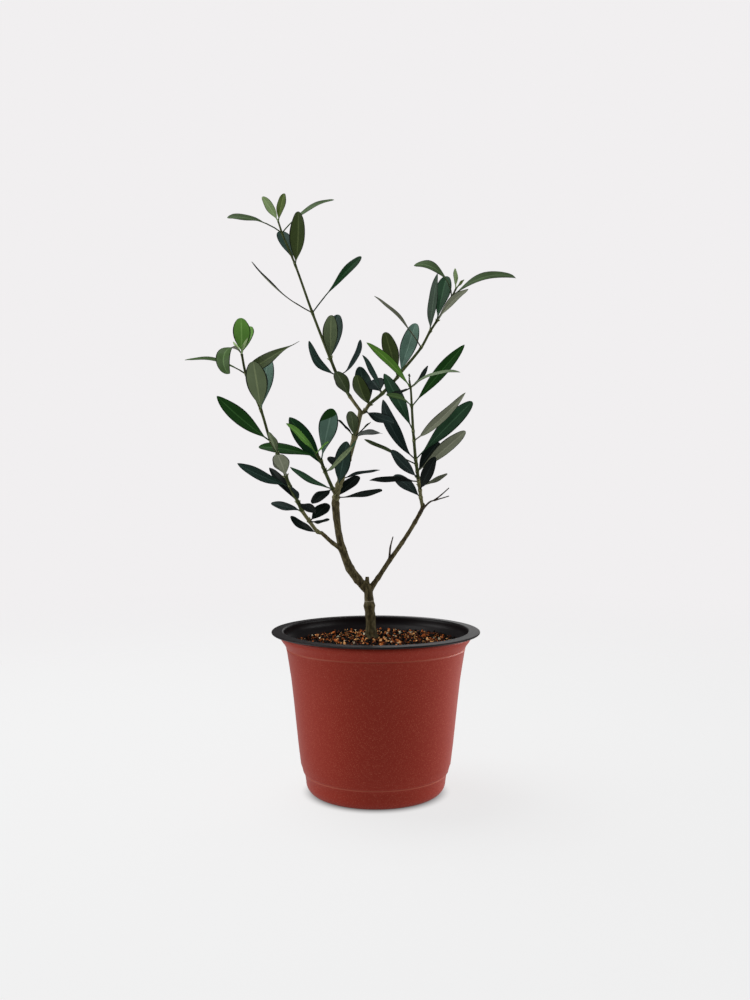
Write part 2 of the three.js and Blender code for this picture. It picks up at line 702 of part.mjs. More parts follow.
// Each limb's stem as it is, and grown by the gap for cutting what it carries.
const clearOf = {
  trunk: limb(trunkLine, TRUNK_SIDES, GAP).add(limb(centreLine(TRUNK_STUB), SPRAY_SIDES, GAP)),
  main_stem: limb(mainLine, BOUGH_SIDES, GAP),
  left_bough: limb(leftLine, BOUGH_SIDES, GAP),
  right_bough: limb(rightLine, BOUGH_SIDES, GAP),
};
const leftBough = limb(leftLine, BOUGH_SIDES).subtract(clearOf.main_stem);
const mainStem = limb(mainLine, BOUGH_SIDES).subtract(clearOf.trunk);
const rightBough = twigLines
  .reduce((whole, line) => whole.add(limb(line, SPRAY_SIDES)), limb(rightLine, BOUGH_SIDES))
  .subtract(clearOf.trunk)
  .subtract(clearOf.main_stem);

addNode('trunk', trunkSolid(trunkLine), FINISHES.bark);
addNode('main_stem', mainStem, FINISHES.bark);
addNode('left_bough', leftBough, FINISHES.bark);
addNode('right_bough', rightBough, FINISHES.bark);

// The sprays. Each one's stem is in the way of all leaves before the first leaf is placed, and each spray is
// cut clear of its carrier and of the stems that stand before it on the same carrier.
const SPRAYS = [
  { name: 'centre_spray', nodes: CENTRE_SPRAY, seed: 37, finish: 'darkLeaf', carrier: 'main_stem' },
  { name: 'short_spray', nodes: SHORT_SPRAY, seed: 11, finish: 'oliveLeaf', carrier: 'centre_spray' },
  { name: 'left_spray', nodes: LEFT_SPRAY, seed: 23, finish: 'darkLeaf', carrier: 'left_bough' },
  { name: 'right_spray', nodes: RIGHT_SPRAY, seed: 41, finish: 'darkLeaf', carrier: 'right_bough' },
  {
    name: 'crown_right_spray',
    nodes: CROWN_RIGHT_SPRAY,
    seed: 53,
    finish: 'oliveLeaf',
    carrier: 'centre_spray',
  },
  {
    name: 'crown_left_spray',
    nodes: CROWN_LEFT_SPRAY,
    seed: 67,
    finish: 'darkLeaf',
    carrier: 'centre_spray',
  },
];
for (const spray of SPRAYS) {
  spray.line = centreLine(spray.nodes.map(({ place }) => place));
  clearOf[spray.name] = limb(spray.line, SPRAY_SIDES, GAP);
  standInWay(spray.line);
}
SPRAYS.forEach((spray, order) => {
  let solid = spraySolid(spray.nodes, spray.seed).subtract(clearOf[spray.carrier]);
  for (const earlier of SPRAYS.slice(0, order)) {
    if (earlier.carrier === spray.carrier) solid = solid.subtract(clearOf[earlier.name]);
  }
  addNode(spray.name, solid, FINISHES[spray.finish]);
});

export default tree;
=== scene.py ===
"""A young olive tree in a two-layer plastic nursery pot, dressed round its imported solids.

Sizes are in millimetres, and turn to metres where a mesh, a pattern, a light or the camera is made. +Z is
up, the pot's underside is at z = 0 and the front is towards -Y. Places on the plant are given as they look
from straight in front: x to the right and z above the floor on the plane through the pot's axis, and how far
behind (+) or before (-) that plane they lie, so that a change of depth keeps the view from the front.
"""

import logging
import math
from dataclasses import dataclass, field, replace
from enum import Enum, IntEnum

import bmesh
import bpy
import numpy as np
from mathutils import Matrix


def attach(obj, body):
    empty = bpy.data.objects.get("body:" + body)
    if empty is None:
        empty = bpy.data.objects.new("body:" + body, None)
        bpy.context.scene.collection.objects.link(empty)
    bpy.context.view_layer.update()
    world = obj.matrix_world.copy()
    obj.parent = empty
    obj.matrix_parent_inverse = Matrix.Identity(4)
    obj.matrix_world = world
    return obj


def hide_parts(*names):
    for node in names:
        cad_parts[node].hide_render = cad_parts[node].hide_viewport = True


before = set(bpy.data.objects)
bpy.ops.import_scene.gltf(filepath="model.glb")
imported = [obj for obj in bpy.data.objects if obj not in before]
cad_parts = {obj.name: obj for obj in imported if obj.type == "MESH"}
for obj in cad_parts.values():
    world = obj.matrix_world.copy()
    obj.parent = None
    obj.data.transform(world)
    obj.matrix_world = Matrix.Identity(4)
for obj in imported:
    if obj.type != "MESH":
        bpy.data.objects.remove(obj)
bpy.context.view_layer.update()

log = logging.getLogger("potted_olive")

MM = 0.001
BODY = "root"
# Random angles are drawn between 0 and this, in radians.
ALMOST_A_TURN = 6.28

# The viewpoint that the places are given from, in mm.
VIEW_DISTANCE = 768.0
VIEW_HEIGHT = 235.0
# All heights are counted from a level this far above the pot's underside, and pieces are raised by as much.
FOOT_DROP = 1.8

# The rule for leaves, the same as the solids'.
STALK_LENGTH = 3.0
FOLD_SLOPE = 0.16
BASE_FULLNESS = 0.85
POINTED_FULLNESS = 0.68
BLUNT_FULLNESS = 0.48
BLUNT_FROM = 0.3
USUAL_WIDEST = 0.55
LEAST_BEND = 0.02
LEAF_CLEARANCE = 2.6
LIMB_CLEARANCE = 1.4
SWING_STEP = 4.0
SWING_TRIES = 11
SAMPLES_ALONG = 15
SAMPLES_ACROSS = 5
FIRST_SAMPLE = 0.25
BLADE_REACH = 70.0
RINGS_PER_STRETCH = 2
PARTNER_HEADING_SPREAD = 16.0
PARTNER_LENGTH = (0.75, 0.95)
PARTNER_DEPTH = (0.8, 1.1)
PARTNER_WIDTH = (0.9, 1.05)
PARTNER_BEND = (-8.0, -24.0)


class Tone(Enum):
    """The colours of one side of a leaf as sRGB hex values: blade, midrib and rim, whose dark colour is
    painted shade along the leaf's edge.
    """

    NIGHT = ("0a120f", "18221f", "030504")
    SLATE = ("1c2927", "2d3b38", "070b0a")
    TEAL = ("293c35", "3b5149", "080e0c")
    IRON = ("38453a", "4d5b4e", "0c110d")
    PINE = ("27422e", "3c5a42", "081009")
    BOTTLE = ("0c2b12", "1b3f21", "040c05")
    FOREST = ("1d3f18", "335a2b", "081406")
    MOSS = ("3a4725", "536038", "0e1309")
    SEA = ("587467", "6f8b7d", "14201c")
    FERN = ("3f5530", "567044", "101809")
    GRASS = ("45573a", "5d7150", "111a0d")
    LIME = ("507a2d", "6e9446", "17290c")
    APPLE = ("5c893c", "79a556", "1d3110")
    OLIVE = ("42521f", "5d6d36", "141b08")
    BUD = ("8ca470", "a1b685", "3f5230")
    REED = ("6c7d60", "84957a", "202b1b")
    DUST = ("5f6352", "757866", "191b15")
    STONE = ("797e6a", "90947f", "1f2219")
    SAGE = ("5d6a4d", "76825f", "171c11")
    UMBER = ("3c492c", "546142", "10140b")
    LEAD = ("5f6462", "737775", "171918")


class Part(Enum):
    """The parts of a leaf's side, in the order of a tone's colours."""

    BLADE = 0
    RIB = 1
    # The rim strip's dark colour is painted shade along the leaf's edge.
    RIM = 2


@dataclass(frozen=True)
class Leaf:
    """A leaf as it looks from the front.

    heading is in degrees clockwise from straight up, length runs from root to tip, back is how far behind
    its root its tip lies, face is how far its upper side is turned up from facing the front in degrees
    (180 shows the underside) and bend is how far it bends towards its upper side (-: it arches over).
    widest is the share of the blade's length where it is widest. tail draws the blade's far half out thin,
    and below nothing it fills it out.
    """

    heading: float
    length: float
    back: float
    width: float
    face: float
    bend: float
    tone: Tone
    stalk: float = STALK_LENGTH
    widest: float = USUAL_WIDEST
    tail: float = 0.0
    has_partner: bool = False
    tip_tone: Tone | None = None


class Joint:
    """A node of a spray."""

    def __init__(self, x: float, z: float, back: float, radius: float, *leaves: Leaf) -> None:
        """Note the node's place as seen, the stem's radius there and the leaves that stand on it.

        Args:
            x: Place to the right.
            z: Height above the floor.
            back: Depth behind the pot's axis.
            radius: The stem's radius.
            leaves: The leaves.
        """
        self.place = (x, z, back, radius)
        self.leaves = leaves


LEFT_SPRAY = (
    Joint(-38.7, 185, 0, 1.35),
    Joint(-41.9, 186.2, -3, 1.3,
          Leaf(-60, 22.3, 14, 7.4, 40, 58, Tone.NIGHT)),
    Joint(-47.7, 193.6, -8, 1.25,
          Leaf(48, 18.5, 24, 9.5, 20, -10, Tone.NIGHT),
          Leaf(86, 14.3, -14, 6, 60, 25, Tone.NIGHT)),
    Joint(-53.1, 201.3, -12.5, 1.22,
          Leaf(-75.7, 22.7, 16, 7.5, 40, 10, Tone.SLATE)),
    Joint(-55.7, 206.9, -16, 1.2,
          Leaf(121, 14.1, -18, 8, 40, -15, Tone.NIGHT),
          Leaf(-39.5, 32.7, 26, 7.5, 25, -8, Tone.NIGHT)),
    Joint(-61.6, 218.8, -22, 1.15,
          Leaf(-66.6, 41.3, -10, 9.5, 38, 28, Tone.TEAL),
          Leaf(148, 10.5, -26, 4.5, 40, -20, Tone.SLATE)),
    Joint(-64.4, 225.6, -26, 1.1,
          Leaf(-21, 17, -28, 11.2, 165, -20, Tone.STONE, has_partner=True)),
    Joint(-70.2, 241.5, -32, 1.05,
          Leaf(-22, 17.5, -24, 6, 140, -10, Tone.SAGE)),
    Joint(-75.4, 251, -36, 1.0,
          Leaf(-49.9, 50.4, 10, 12, 26, 24, Tone.FOREST, stalk=5)),
    Joint(-82.3, 273.2, -43, 0.95,
          Leaf(-9, 35.3, -26, 14.5, 172, -12, Tone.SAGE),
          Leaf(8, 40, 24, 12, 10, -12, Tone.SEA)),
    Joint(-93, 299, -49, 0.85,
          Leaf(-77, 45, -6, 7, 70, -50, Tone.FERN, stalk=5),
          Leaf(58.3, 44.9, 10, 12.5, 48, -14, Tone.MOSS, widest=0.25, tail=1.6)),
    Joint(-96, 313.5, -52, 0.75,
          Leaf(-1, 25.6, 5, 12, 8, -20, Tone.APPLE, stalk=2),
          Leaf(17, 20.5, 14, 10, 20, -25, Tone.APPLE, stalk=2),
          Leaf(-146.6, 17, -7, 13.5, 58, -196, Tone.FERN, stalk=2),
          Leaf(-35, 10.7, 12, 2, 20, -10, Tone.BUD, stalk=2),
          Leaf(21, 12.2, -8, 2.4, 30, -30, Tone.BUD, stalk=2)),
)

SHORT_SPRAY = (
    Joint(-28.8, 212.5, 8, 1.35),
    Joint(-31, 217, 3, 1.3,
          Leaf(-62.8, 34.3, 14, 8, 56, 30, Tone.PINE),
          Leaf(-125.4, 18.3, -18, 9, 40, -20, Tone.NIGHT)),
    Joint(-36.3, 229, -8, 1.15,
          Leaf(45, 31.5, -24, 10, 68, 22, Tone.SAGE, widest=0.42, tip_tone=Tone.PINE)),
    Joint(-37.8, 232.5, -10.5, 1.1,
          Leaf(-34, 43.2, 16, 12.4, 6, -12, Tone.BOTTLE)),
    Joint(-39.2, 237, -15, 1.0,
          Leaf(12, 38.4, -14, 13.5, 8, -14, Tone.SEA, widest=0.68, tip_tone=Tone.FOREST)),
    Joint(-41, 239.4, -17.5, 0.97,
          Leaf(-79.8, 43.7, 6, 8.8, 32, -32, Tone.FOREST, widest=0.6)),
    Joint(-42.8, 242.3, -20, 0.9,
          Leaf(-44.9, 30.5, -20, 8.4, 55, -14, Tone.APPLE, stalk=2),
          Leaf(46.6, 12.9, -14, 2.4, 50, -10, Tone.APPLE, stalk=2)),
)

CENTRE_SPRAY = (
    Joint(-29, 206, 8, 2.5),
    Joint(-28.6, 210.8, 8, 2.4,
          Leaf(47.3, 22.4, 30, 9, 25, -12, Tone.NIGHT),
          Leaf(82, 33.5, -16, 11, 65, 12, Tone.NIGHT, widest=0.66)),
    Joint(-26.6, 219.5, 10.5, 2.2,
          Leaf(11, 32, -22, 12.6, 20, -12, Tone.TEAL)),
    Joint(-25, 224, 12, 2.15,
          Leaf(77, 28.7, 22, 8, 70, -10, Tone.SLATE)),
    Joint(-23, 229.5, 13.5, 2.1,
          Leaf(-46, 15, 26, 8, 30, -10, Tone.NIGHT)),
    Joint(-19.8, 238, 16, 2.0),
    Joint(-15.2, 254, 19, 1.9,
          Leaf(-8.9, 18.8, -38, 8.8, 168, -14, Tone.UMBER),
          Leaf(-44.3, 17.3, -20, 6, 74, -10, Tone.NIGHT),
          Leaf(81, 18.8, 34, 9.5, 61, -20, Tone.LEAD, widest=0.6, tail=-0.25),
          Leaf(47, 16, -8, 3, 70, -4, Tone.NIGHT)),
    Joint(-10.6, 273, 22, 1.8),
)

CROWN_LEFT_SPRAY = (
    Joint(-10.8, 272.5, 22, 1.25),
    Joint(-18.4, 283, 26, 1.2,
          Leaf(-29, 20.5, -32, 9.8, 165, -14, Tone.UMBER, has_partner=True)),
    Joint(-27.5, 298.2, 32, 1.15,
          Leaf(-40.2, 31.8, -14, 11.5, 55, 78, Tone.TEAL),
          Leaf(32.8, 30.3, 20, 8.5, 64, 66, Tone.SLATE, stalk=4, widest=0.6)),
    Joint(-32.3, 309.6, 36, 1.1,
          Leaf(0.5, 31.5, -30, 11.6, 168, -12, Tone.SAGE),
          Leaf(9, 32.3, 28, 12.4, 12, -12, Tone.TEAL)),
    Joint(-45.3, 342.8, 46, 1.0,
          Leaf(-50, 56.5, 8, 8, 84, 26, Tone.NIGHT, stalk=14, widest=0.66),
          Leaf(41.3, 53.1, -10, 9, 45, -14, Tone.BOTTLE, stalk=14, widest=0.7)),
    Joint(-57.5, 376.9, 54, 0.85,
          Leaf(3, 37.8, -24, 13.6, 150, 22, Tone.MOSS),
          Leaf(-24, 26, 34, 11, 20, -12, Tone.TEAL, widest=0.68)),
    Joint(-66.8, 399.4, 59, 0.75,
          Leaf(-74.5, 40.5, -12, 9, 60, -50, Tone.GRASS, stalk=14, widest=0.64),
          Leaf(57.5, 43.7, 14, 8.5, 66, -42, Tone.GRASS, stalk=8, widest=0.64, tail=-0.2)),
    Joint(-69.5, 407.6, 61, 0.65,
          Leaf(-33, 20.8, -8, 7.6, 30, -14, Tone.BUD, stalk=2),
          Leaf(12, 20.2, 8, 7.2, 25, -12, Tone.OLIVE, stalk=2)),
)

CROWN_RIGHT_SPRAY = (
    Joint(-10.6, 270.8, 22, 1.3),
    Joint(-8, 272.6, 23, 1.3,
          Leaf(111.5, 22.3, -24, 9.6, 38, 12, Tone.SLATE)),
    Joint(-4.6, 277.5, 25, 1.25,
          Leaf(-23, 22.8, -32, 12.6, 150, 34, Tone.MOSS),
          Leaf(-14, 27.8, 28, 13, 20, 20, Tone.TEAL)),
    Joint(4.5, 285.2, 28, 1.2,
          Leaf(-27, 31, -4, 7, 52, -12, Tone.TEAL),
          Leaf(-38, 12, 32, 15, 20, -20, Tone.SLATE)),
    Joint(15.5, 297, 31, 1.1,
          Leaf(-15.5, 33.2, -26, 11.5, 168, -12, Tone.MOSS)),
    Joint(17.4, 299.6, 31.5, 1.08,
          Leaf(17.5, 37.4, 20, 12.6, 10, -12, Tone.SEA)),
    Joint(32.5, 318.1, 34, 1.0,
          Leaf(-42.5, 49.6, 8, 8.5, 70, -26, Tone.DUST, stalk=14)),
    Joint(38.6, 329.2, 36, 0.95,
          Leaf(7.5, 42, -10, 11.5, 54, -3, Tone.IRON, stalk=4, widest=0.45)),
    Joint(43.6, 336.9, 38, 0.9,
          Leaf(12.5, 32.6, 24, 12.3, 14, -10, Tone.PINE, widest=0.62),
          Leaf(44.5, 32, -24, 7.2, 140, -40, Tone.STONE)),
    Joint(54.2, 354, 40, 0.75,
          Leaf(-49.5, 35, -10, 12, 54, -114, Tone.GRASS, stalk=10, widest=0.68),
          Leaf(73, 47.4, 10, 11, 56, -70, Tone.GRASS, widest=0.62, tail=-0.2)),
    Joint(57.2, 359.7, 41, 0.65,
          Leaf(-2.5, 14.8, -2, 4, 30, -4, Tone.BUD, stalk=2),
          Leaf(41, 9, 3, 2.6, 40, -6, Tone.OLIVE, stalk=2)),
)

RIGHT_SPRAY = (
    Joint(33.6, 204.2, 31, 1.35),
    Joint(32.4, 210.7, 28, 1.3,
          Leaf(-50, 25, 30, 9.5, 20, -12, Tone.SLATE)),
    Joint(31.8, 216, 26, 1.27,
          Leaf(25.5, 26.2, -32, 9.6, 25, -12, Tone.NIGHT)),
    Joint(31.3, 219.6, 24, 1.24,
          Leaf(67, 21.5, 22, 8, 68, 28, Tone.DUST)),
    Joint(30.9, 222.2, 22.5, 1.2,
          Leaf(-88.6, 35.4, 16, 10.5, 63, -10, Tone.NIGHT)),
    Joint(30.5, 224.7, 21, 1.2,
          Leaf(-45, 28, -28, 8.5, 22, 12, Tone.SLATE)),
    Joint(29.8, 229.5, 18, 1.15,
          Leaf(50, 45, -16, 10.3, 155, 6, Tone.STONE, widest=0.6),
          Leaf(36, 26, 32, 10, 20, -12, Tone.NIGHT)),
    Joint(29.1, 234.6, 14.5, 1.12,
          Leaf(-64.3, 41.2, 28, 8.5, 68, 2, Tone.UMBER, stalk=12, widest=0.66)),
    Joint(28.6, 238, 12, 1.1,
          Leaf(44.3, 58, 14, 12.2, 14, -12, Tone.PINE, stalk=7, widest=0.6),
          Leaf(-28.7, 49, 10, 13, 42, 58, Tone.SLATE, stalk=5)),
    Joint(27.4, 251.5, 4, 1.03,
          Leaf(46.9, 50.5, -16, 8, 150, 28, Tone.STONE, stalk=6, widest=0.42)),
    Joint(26.8, 258.5, 0, 1.0,
          Leaf(-27, 46, 22, 10.5, 14, -12, Tone.PINE, stalk=5)),
    Joint(25.8, 276, -10, 0.9,
          Leaf(40.5, 58, 10, 9, 12, -12, Tone.FOREST, stalk=6),
          Leaf(-66, 20, -32, 6.8, 62, -30, Tone.FERN)),
    Joint(24.9, 289.6, -18, 0.75,
          Leaf(-44.6, 45, -12, 7.4, 36, -32, Tone.LIME),
          Leaf(38, 19.5, 28, 7, 70, 25, Tone.NIGHT),
          Leaf(73, 37.2, -12, 6.5, 70, -52, Tone.REED),
          Leaf(-108.5, 17, 24, 6, 62, 20, Tone.NIGHT)),
    Joint(24, 294.5, -20, 0.6,
          Leaf(-2, 5, -1, 2, 40, -6, Tone.UMBER, stalk=2)),
)

# The woody limbs as rows of x, z, back and radius.
TRUNK = (
    (-2.9, 104.5, 14, 6.2), (-2.9, 109.6, 14, 4.7), (-3.4, 115, 14, 3.75), (-4, 126, 14, 3.45),
    (-4.5, 130.6, 14, 3.5), (-4.6, 132.6, 14, 3.95), (-4.7, 134.4, 14, 3.5), (-4.9, 138, 14, 3.15),
    (-6.2, 146, 14, 3.3), (-9.8, 149, 14, 2.9),
)
TRUNK_SCAR = 134.3
TRUNK_STUB = ((-5.2, 142, 14, 2.4), (-6.2, 149, 14.4, 1.8), (-6.2, 153.6, 15, 1.3))
MAIN_STEM = (
    (-5.6, 143, 14, 2.9), (-12.8, 151.6, 14, 3.2), (-18.5, 159.5, 13.5, 3.1), (-24, 173.5, 12, 2.75),
    (-26.5, 183.7, 11, 2.4), (-28.2, 196, 9.5, 2.6), (-29, 206.5, 8, 2.8), (-29.2, 210.4, 8, 2.2),
)
LEFT_BOUGH = (
    (-22.4, 170.4, 12.4, 1.9), (-25, 173.6, 11, 1.75), (-31, 178, 6, 1.5), (-39.4, 185.6, -0.6, 1.35)
)
RIGHT_BOUGH = (
    (-5.2, 143.2, 14, 2.3), (1.6, 152.8, 17, 1.75), (10.2, 165.7, 21, 1.7), (18.8, 178, 25, 1.55),
    (28.2, 193, 29, 1.5), (33.9, 204.4, 31, 1.55), (33.6, 206.4, 30.2, 1.35),
)
DEAD_TWIGS = (
    ((9.8, 165.5, 21, 0.9), (10.4, 174.5, 19, 0.62), (12.4, 182.5, 17, 0.42)),
    ((31.5, 199.5, 30, 0.9), (39, 207.6, 28, 0.6), (43.4, 209, 27, 0.52), (52.6, 211.8, 23, 0.38)),
    ((42, 208.6, 27.3, 0.55), (47, 212.6, 28, 0.45), (52.6, 217.6, 30, 0.38)),
)


def linear(hex_colour: str) -> tuple[float, float, float, float]:
    """Return an sRGB hex colour as linear red, green, blue and alpha.

    A dark channel is divided by 12.92, and a brighter one plus 0.055 is divided by 1.055 and raised to 2.4.

    Args:
        hex_colour: Six hex digits.

    Returns:
        The linear colour with alpha 1.
    """
    channels = [int(hex_colour[at:at + 2], 16) / 255 for at in (0, 2, 4)]
    steps = [value / 12.92 if value <= 0.04045 else ((value + 0.055) / 1.055) ** 2.4 for value in channels]
    return (steps[0], steps[1], steps[2], 1.0)


def add_node(
    tree: bpy.types.NodeTree,
    kind: str,
    settings: dict[str, object] | None = None,
    values: dict[str, object] | None = None,
    links: dict[str, bpy.types.NodeSocket] | None = None,
) -> bpy.types.Node:
    """Add a node with its settings, socket values and incoming links.

    Args:
        tree: The node tree that gets it.
        kind: Blender's type name for the node.
        settings: Properties of the node itself.
        values: Default values of input sockets, by socket name.
        links: Output sockets to join to input sockets, by input name.

    Returns:
        The new node.
    """
    node = tree.nodes.new(kind)
    for name, value in (settings or {}).items():
        setattr(node, name, value)
    for name, value in (values or {}).items():
        node.inputs[name].default_value = value
    for name, source in (links or {}).items():
        tree.links.new(source, node.inputs[name])
    return node


class Finish:
    """A material in the making: its shader, and the place on the object that its patterns go by."""

    def __init__(self, name: str, gloss: dict[str, object]) -> None:
        """Start with a plain principled shader.

        Args:
            name: The finish's plain name.
            gloss: Values of the shader's sockets, by name.
        """
        self.material = bpy.data.materials.new(name)
        self.material.use_nodes = True
        self.tree = self.material.node_tree
        self.shader = self.tree.nodes["Principled BSDF"]
        self.place = add_node(self.tree, "ShaderNodeTexCoord").outputs["Object"]
        for socket, value in gloss.items():
            self.shader.inputs[socket].default_value = value

    def connect(self, source: bpy.types.NodeSocket, socket: str) -> None:
        """Join a source to the shader's socket of that name."""
        self.tree.links.new(source, self.shader.inputs[socket])

    def calculated(self, operation: str, *terms: bpy.types.NodeSocket | float) -> bpy.types.NodeSocket:
        """Work out a value by one operation.

        Args:
            operation: Blender's name for the operation.
            terms: What it works on, as sockets or numbers.

        Returns:
            The socket with the result.
        """
        node = add_node(self.tree, "ShaderNodeMath", {"operation": operation})
        for term, socket in zip(terms, node.inputs):
            if isinstance(term, float):
                socket.default_value = term
            else:
                self.tree.links.new(term, socket)
        return node.outputs["Value"]

    def mapped(
        self,
        value: bpy.types.NodeSocket,
        source: tuple[float, float],
        target: tuple[float, float] = (0.0, 1.0),
        eased: bool = False,
    ) -> bpy.types.NodeSocket:
        """Carry a value from one range over to another, and hold it at the ends.

        Args:
            value: The socket that gives the value.
            source: The range that it comes from.
            target: The range that it goes to.
            eased: Whether it starts and ends slowly.

        Returns:
            The socket with the new value.
        """
        return add_node(
            self.tree, "ShaderNodeMapRange",
            {"interpolation_type": "SMOOTHSTEP" if eased else "LINEAR"},
            values={"From Min": source[0], "From Max": source[1], "To Min": target[0], "To Max": target[1]},
            links={"Value": value},
        ).outputs["Result"]

    def noise(
        self,
        grain_mm: float,
        detail: float,
        roughness: float = 0.5,
        place: bpy.types.NodeSocket | None = None,
    ) -> bpy.types.NodeSocket:
        """Lay soft random patches over the object.

        Args:
            grain_mm: How wide they are.
            detail: How many finer layers lie over them.
            roughness: How strong the finer layers are.
            place: The place that they go by, where it isn't the plain one.

        Returns:
            The socket with the patches' strength.
        """
        return add_node(
            self.tree, "ShaderNodeTexNoise",
            values={"Scale": 1 / (grain_mm * MM), "Detail": detail, "Roughness": roughness},
            links={"Vector": place or self.place},
        ).outputs["Fac"]

    def tint(self, colour: str, strength: bpy.types.NodeSocket) -> None:
        """Colour the shader with one colour that is lighter and darker by a factor.

        Args:
            colour: The colour as sRGB hex.
            strength: The factor's socket.
        """
        shade = add_node(
            self.tree, "ShaderNodeVectorMath", {"operation": "SCALE"}, links={"Scale": strength}
        )
        shade.inputs[0].default_value = linear(colour)[:3]
        self.connect(shade.outputs["Vector"], "Base Color")

    def relief(self, height: bpy.types.NodeSocket, strength: float, depth_mm: float) -> None:
        """Roughen the surface as the light sees it.

        Args:
            height: The socket that gives the height from 0 to 1.
            strength: How strong the relief is.
            depth_mm: How deep it goes.
        """
        bump = add_node(
            self.tree, "ShaderNodeBump", values={"Strength": strength, "Distance": depth_mm * MM},
            links={"Height": height},
        )
        self.connect(bump.outputs["Normal"], "Normal")


@dataclass(frozen=True)
class MouldedPlastic:
    """Polypropylene with mineral flecks, moulded in a lightly blasted mould.

    It gives the eye an even, soft-edged shine and fine pale specks, close together, on a plain colour.
    fleck_edge is where a fleck starts to fade and where it ends, as shares of the flecks' spacing.
    """

    name: str
    colour: str
    fleck: str
    fleck_mm: float
    fleck_share: float
    roughness: float
    shine: float
    # Heights, reach and strength of the painted highlight lines at the moulding's creases.
    painted_highlight_heights: tuple[float, ...] = ()
    painted_highlight_mm: float = 0.75
    painted_highlight_share: float = 0.6
    fleck_edge: tuple[float, float] = (0.12, 0.46)
    grain_mm: float = 0.5
    grain_depth_mm: float = 0.05
    grain_strength: float = 0.12

    def painted_highlights(self, finish: Finish, amount: bpy.types.NodeSocket) -> bpy.types.NodeSocket:
        """Add painted highlights: pale lines at the heights where the moulding is bent, standing in for the
        light that its creases catch.

        A line's strength falls evenly from its own height to nothing at painted_highlight_mm above and below
        it.

        Args:
            finish: The material in the making.
            amount: How pale the surface is so far.

        Returns:
            How pale the surface is with the lines.
        """
        height = add_node(finish.tree, "ShaderNodeSeparateXYZ", links={"Vector": finish.place}).outputs["Z"]
        for line in self.painted_highlight_heights:
            above = finish.calculated("SUBTRACT", height, (line + FOOT_DROP) * MM)
            away = finish.calculated("ABSOLUTE", above)
            pale = finish.mapped(away, (0.0, self.painted_highlight_mm * MM), (self.painted_highlight_share, 0.0))
            amount = finish.calculated("MAXIMUM", amount, pale)
        return amount

    def material(self) -> bpy.types.Material:
        """Build the material.

        Returns:
            The material.
        """
        gloss = {"Roughness": self.roughness, "IOR": 1.49, "Specular IOR Level": self.shine}
        finish = Finish(self.name, gloss)
        cells = add_node(
            finish.tree, "ShaderNodeTexVoronoi", values={"Scale": 1 / (self.fleck_mm * MM)},
            links={"Vector": finish.place},
        )
        spot = finish.mapped(cells.outputs["Distance"], self.fleck_edge, (1.0, 0.0))
        chosen = finish.mapped(cells.outputs["Color"], (1 - self.fleck_share, 1.0))
        # The flecks, and the painted highlight lines over them.
        amount = self.painted_highlights(finish, finish.calculated("MULTIPLY", spot, chosen))
        # A mix of colours takes them in its sockets 6 and 7, and gives its result in its socket 2.
        paint = add_node(finish.tree, "ShaderNodeMix", {"data_type": "RGBA"}, links={0: amount})
        paint.inputs[6].default_value = linear(self.colour)
        paint.inputs[7].default_value = linear(self.fleck)
        finish.connect(paint.outputs[2], "Base Color")
        finish.relief(finish.noise(self.grain_mm, 3.0), self.grain_strength, self.grain_depth_mm)
        return finish.material


@dataclass(frozen=True)
class LeafSide:
    """The waxy upper or felted lower side of a leaf, in one tone.

    It gives the eye a leathery, slightly uneven colour with a soft shine.
    """

    tone: Tone
    part: Part
    mottle_mm: float = 11.0
    mottle: tuple[float, float] = (0.88, 1.12)
    skin_mm: float = 2.2
    skin_depth_mm: float = 0.05
    skin_strength: float = 0.1

    def material(self) -> bpy.types.Material:
        """Build the material.

        Returns:
            The material.
        """
        finish = Finish(
            f"leaf_{self.tone.name.lower()}_{self.part.name.lower()}",
            {"Roughness": 0.44, "IOR": 1.42, "Specular IOR Level": 0.06},
        )
        patches = finish.mapped(finish.noise(self.mottle_mm, 2.0), (0.25, 0.75), self.mottle)
        finish.tint(self.tone.value[self.part.value], patches)
        finish.relief(finish.noise(self.skin_mm, 2.0), self.skin_strength, self.skin_depth_mm)
        return finish.material


@dataclass(frozen=True)
class Bark:
    """Young olive bark: smooth, with fine lengthwise cracks and pale breathing pores.

    It gives the eye grey-brown streaks along the limb. stops are the strengths of
    the streaks that have the dark, the middle and the light colour.
    """

    name: str
    dark: str
    middle: str
    light: str
    streak_mm: float = 1.7
    depth_mm: float = 0.25
    detail: float = 5.0
    relief: float = 0.35
    lengthwise: float = 0.36
    stops: tuple[float, float, float] = (0.29, 0.5, 0.76)

    def material(self) -> bpy.types.Material:
        """Build the material.

        Returns:
            The material.
        """
        finish = Finish(self.name, {"Roughness": 0.7, "Specular IOR Level": 0.15})
        stretch = add_node(
            finish.tree, "ShaderNodeMapping", values={"Scale": (1.0, 1.0, self.lengthwise)},
            links={"Vector": finish.place},
        )
        streaks = finish.noise(self.streak_mm, self.detail, 0.6, stretch.outputs["Vector"])
        ramp = add_node(finish.tree, "ShaderNodeValToRGB", links={"Fac": streaks})
        elements = ramp.color_ramp.elements
        elements.new(1.0)
        for element, stop, colour in zip(elements, self.stops, (self.dark, self.middle, self.light)):
            element.position = stop
            element.color = linear(colour)
        finish.connect(ramp.outputs["Color"], "Base Color")
        finish.relief(streaks, self.relief, self.depth_mm)
        return finish.material


@dataclass(frozen=True)
class BarkChip:
    """Chipped, composted bark, damp. It gives the eye grains of one brown, lighter and darker in soft
    patches.
    """

    name: str
    colour: str
    fibre_mm: float = 1.1
    shades: tuple[float, float] = (0.55, 1.35)

    def material(self) -> bpy.types.Material:
        """Build the material.

        Returns:
            The material.
        """
        finish = Finish(self.name, {"Roughness": 0.62, "Specular IOR Level": 0.15})
        finish.tint(self.colour, finish.mapped(finish.noise(self.fibre_mm, 4.0), (0.3, 0.7), self.shades))
        return finish.material


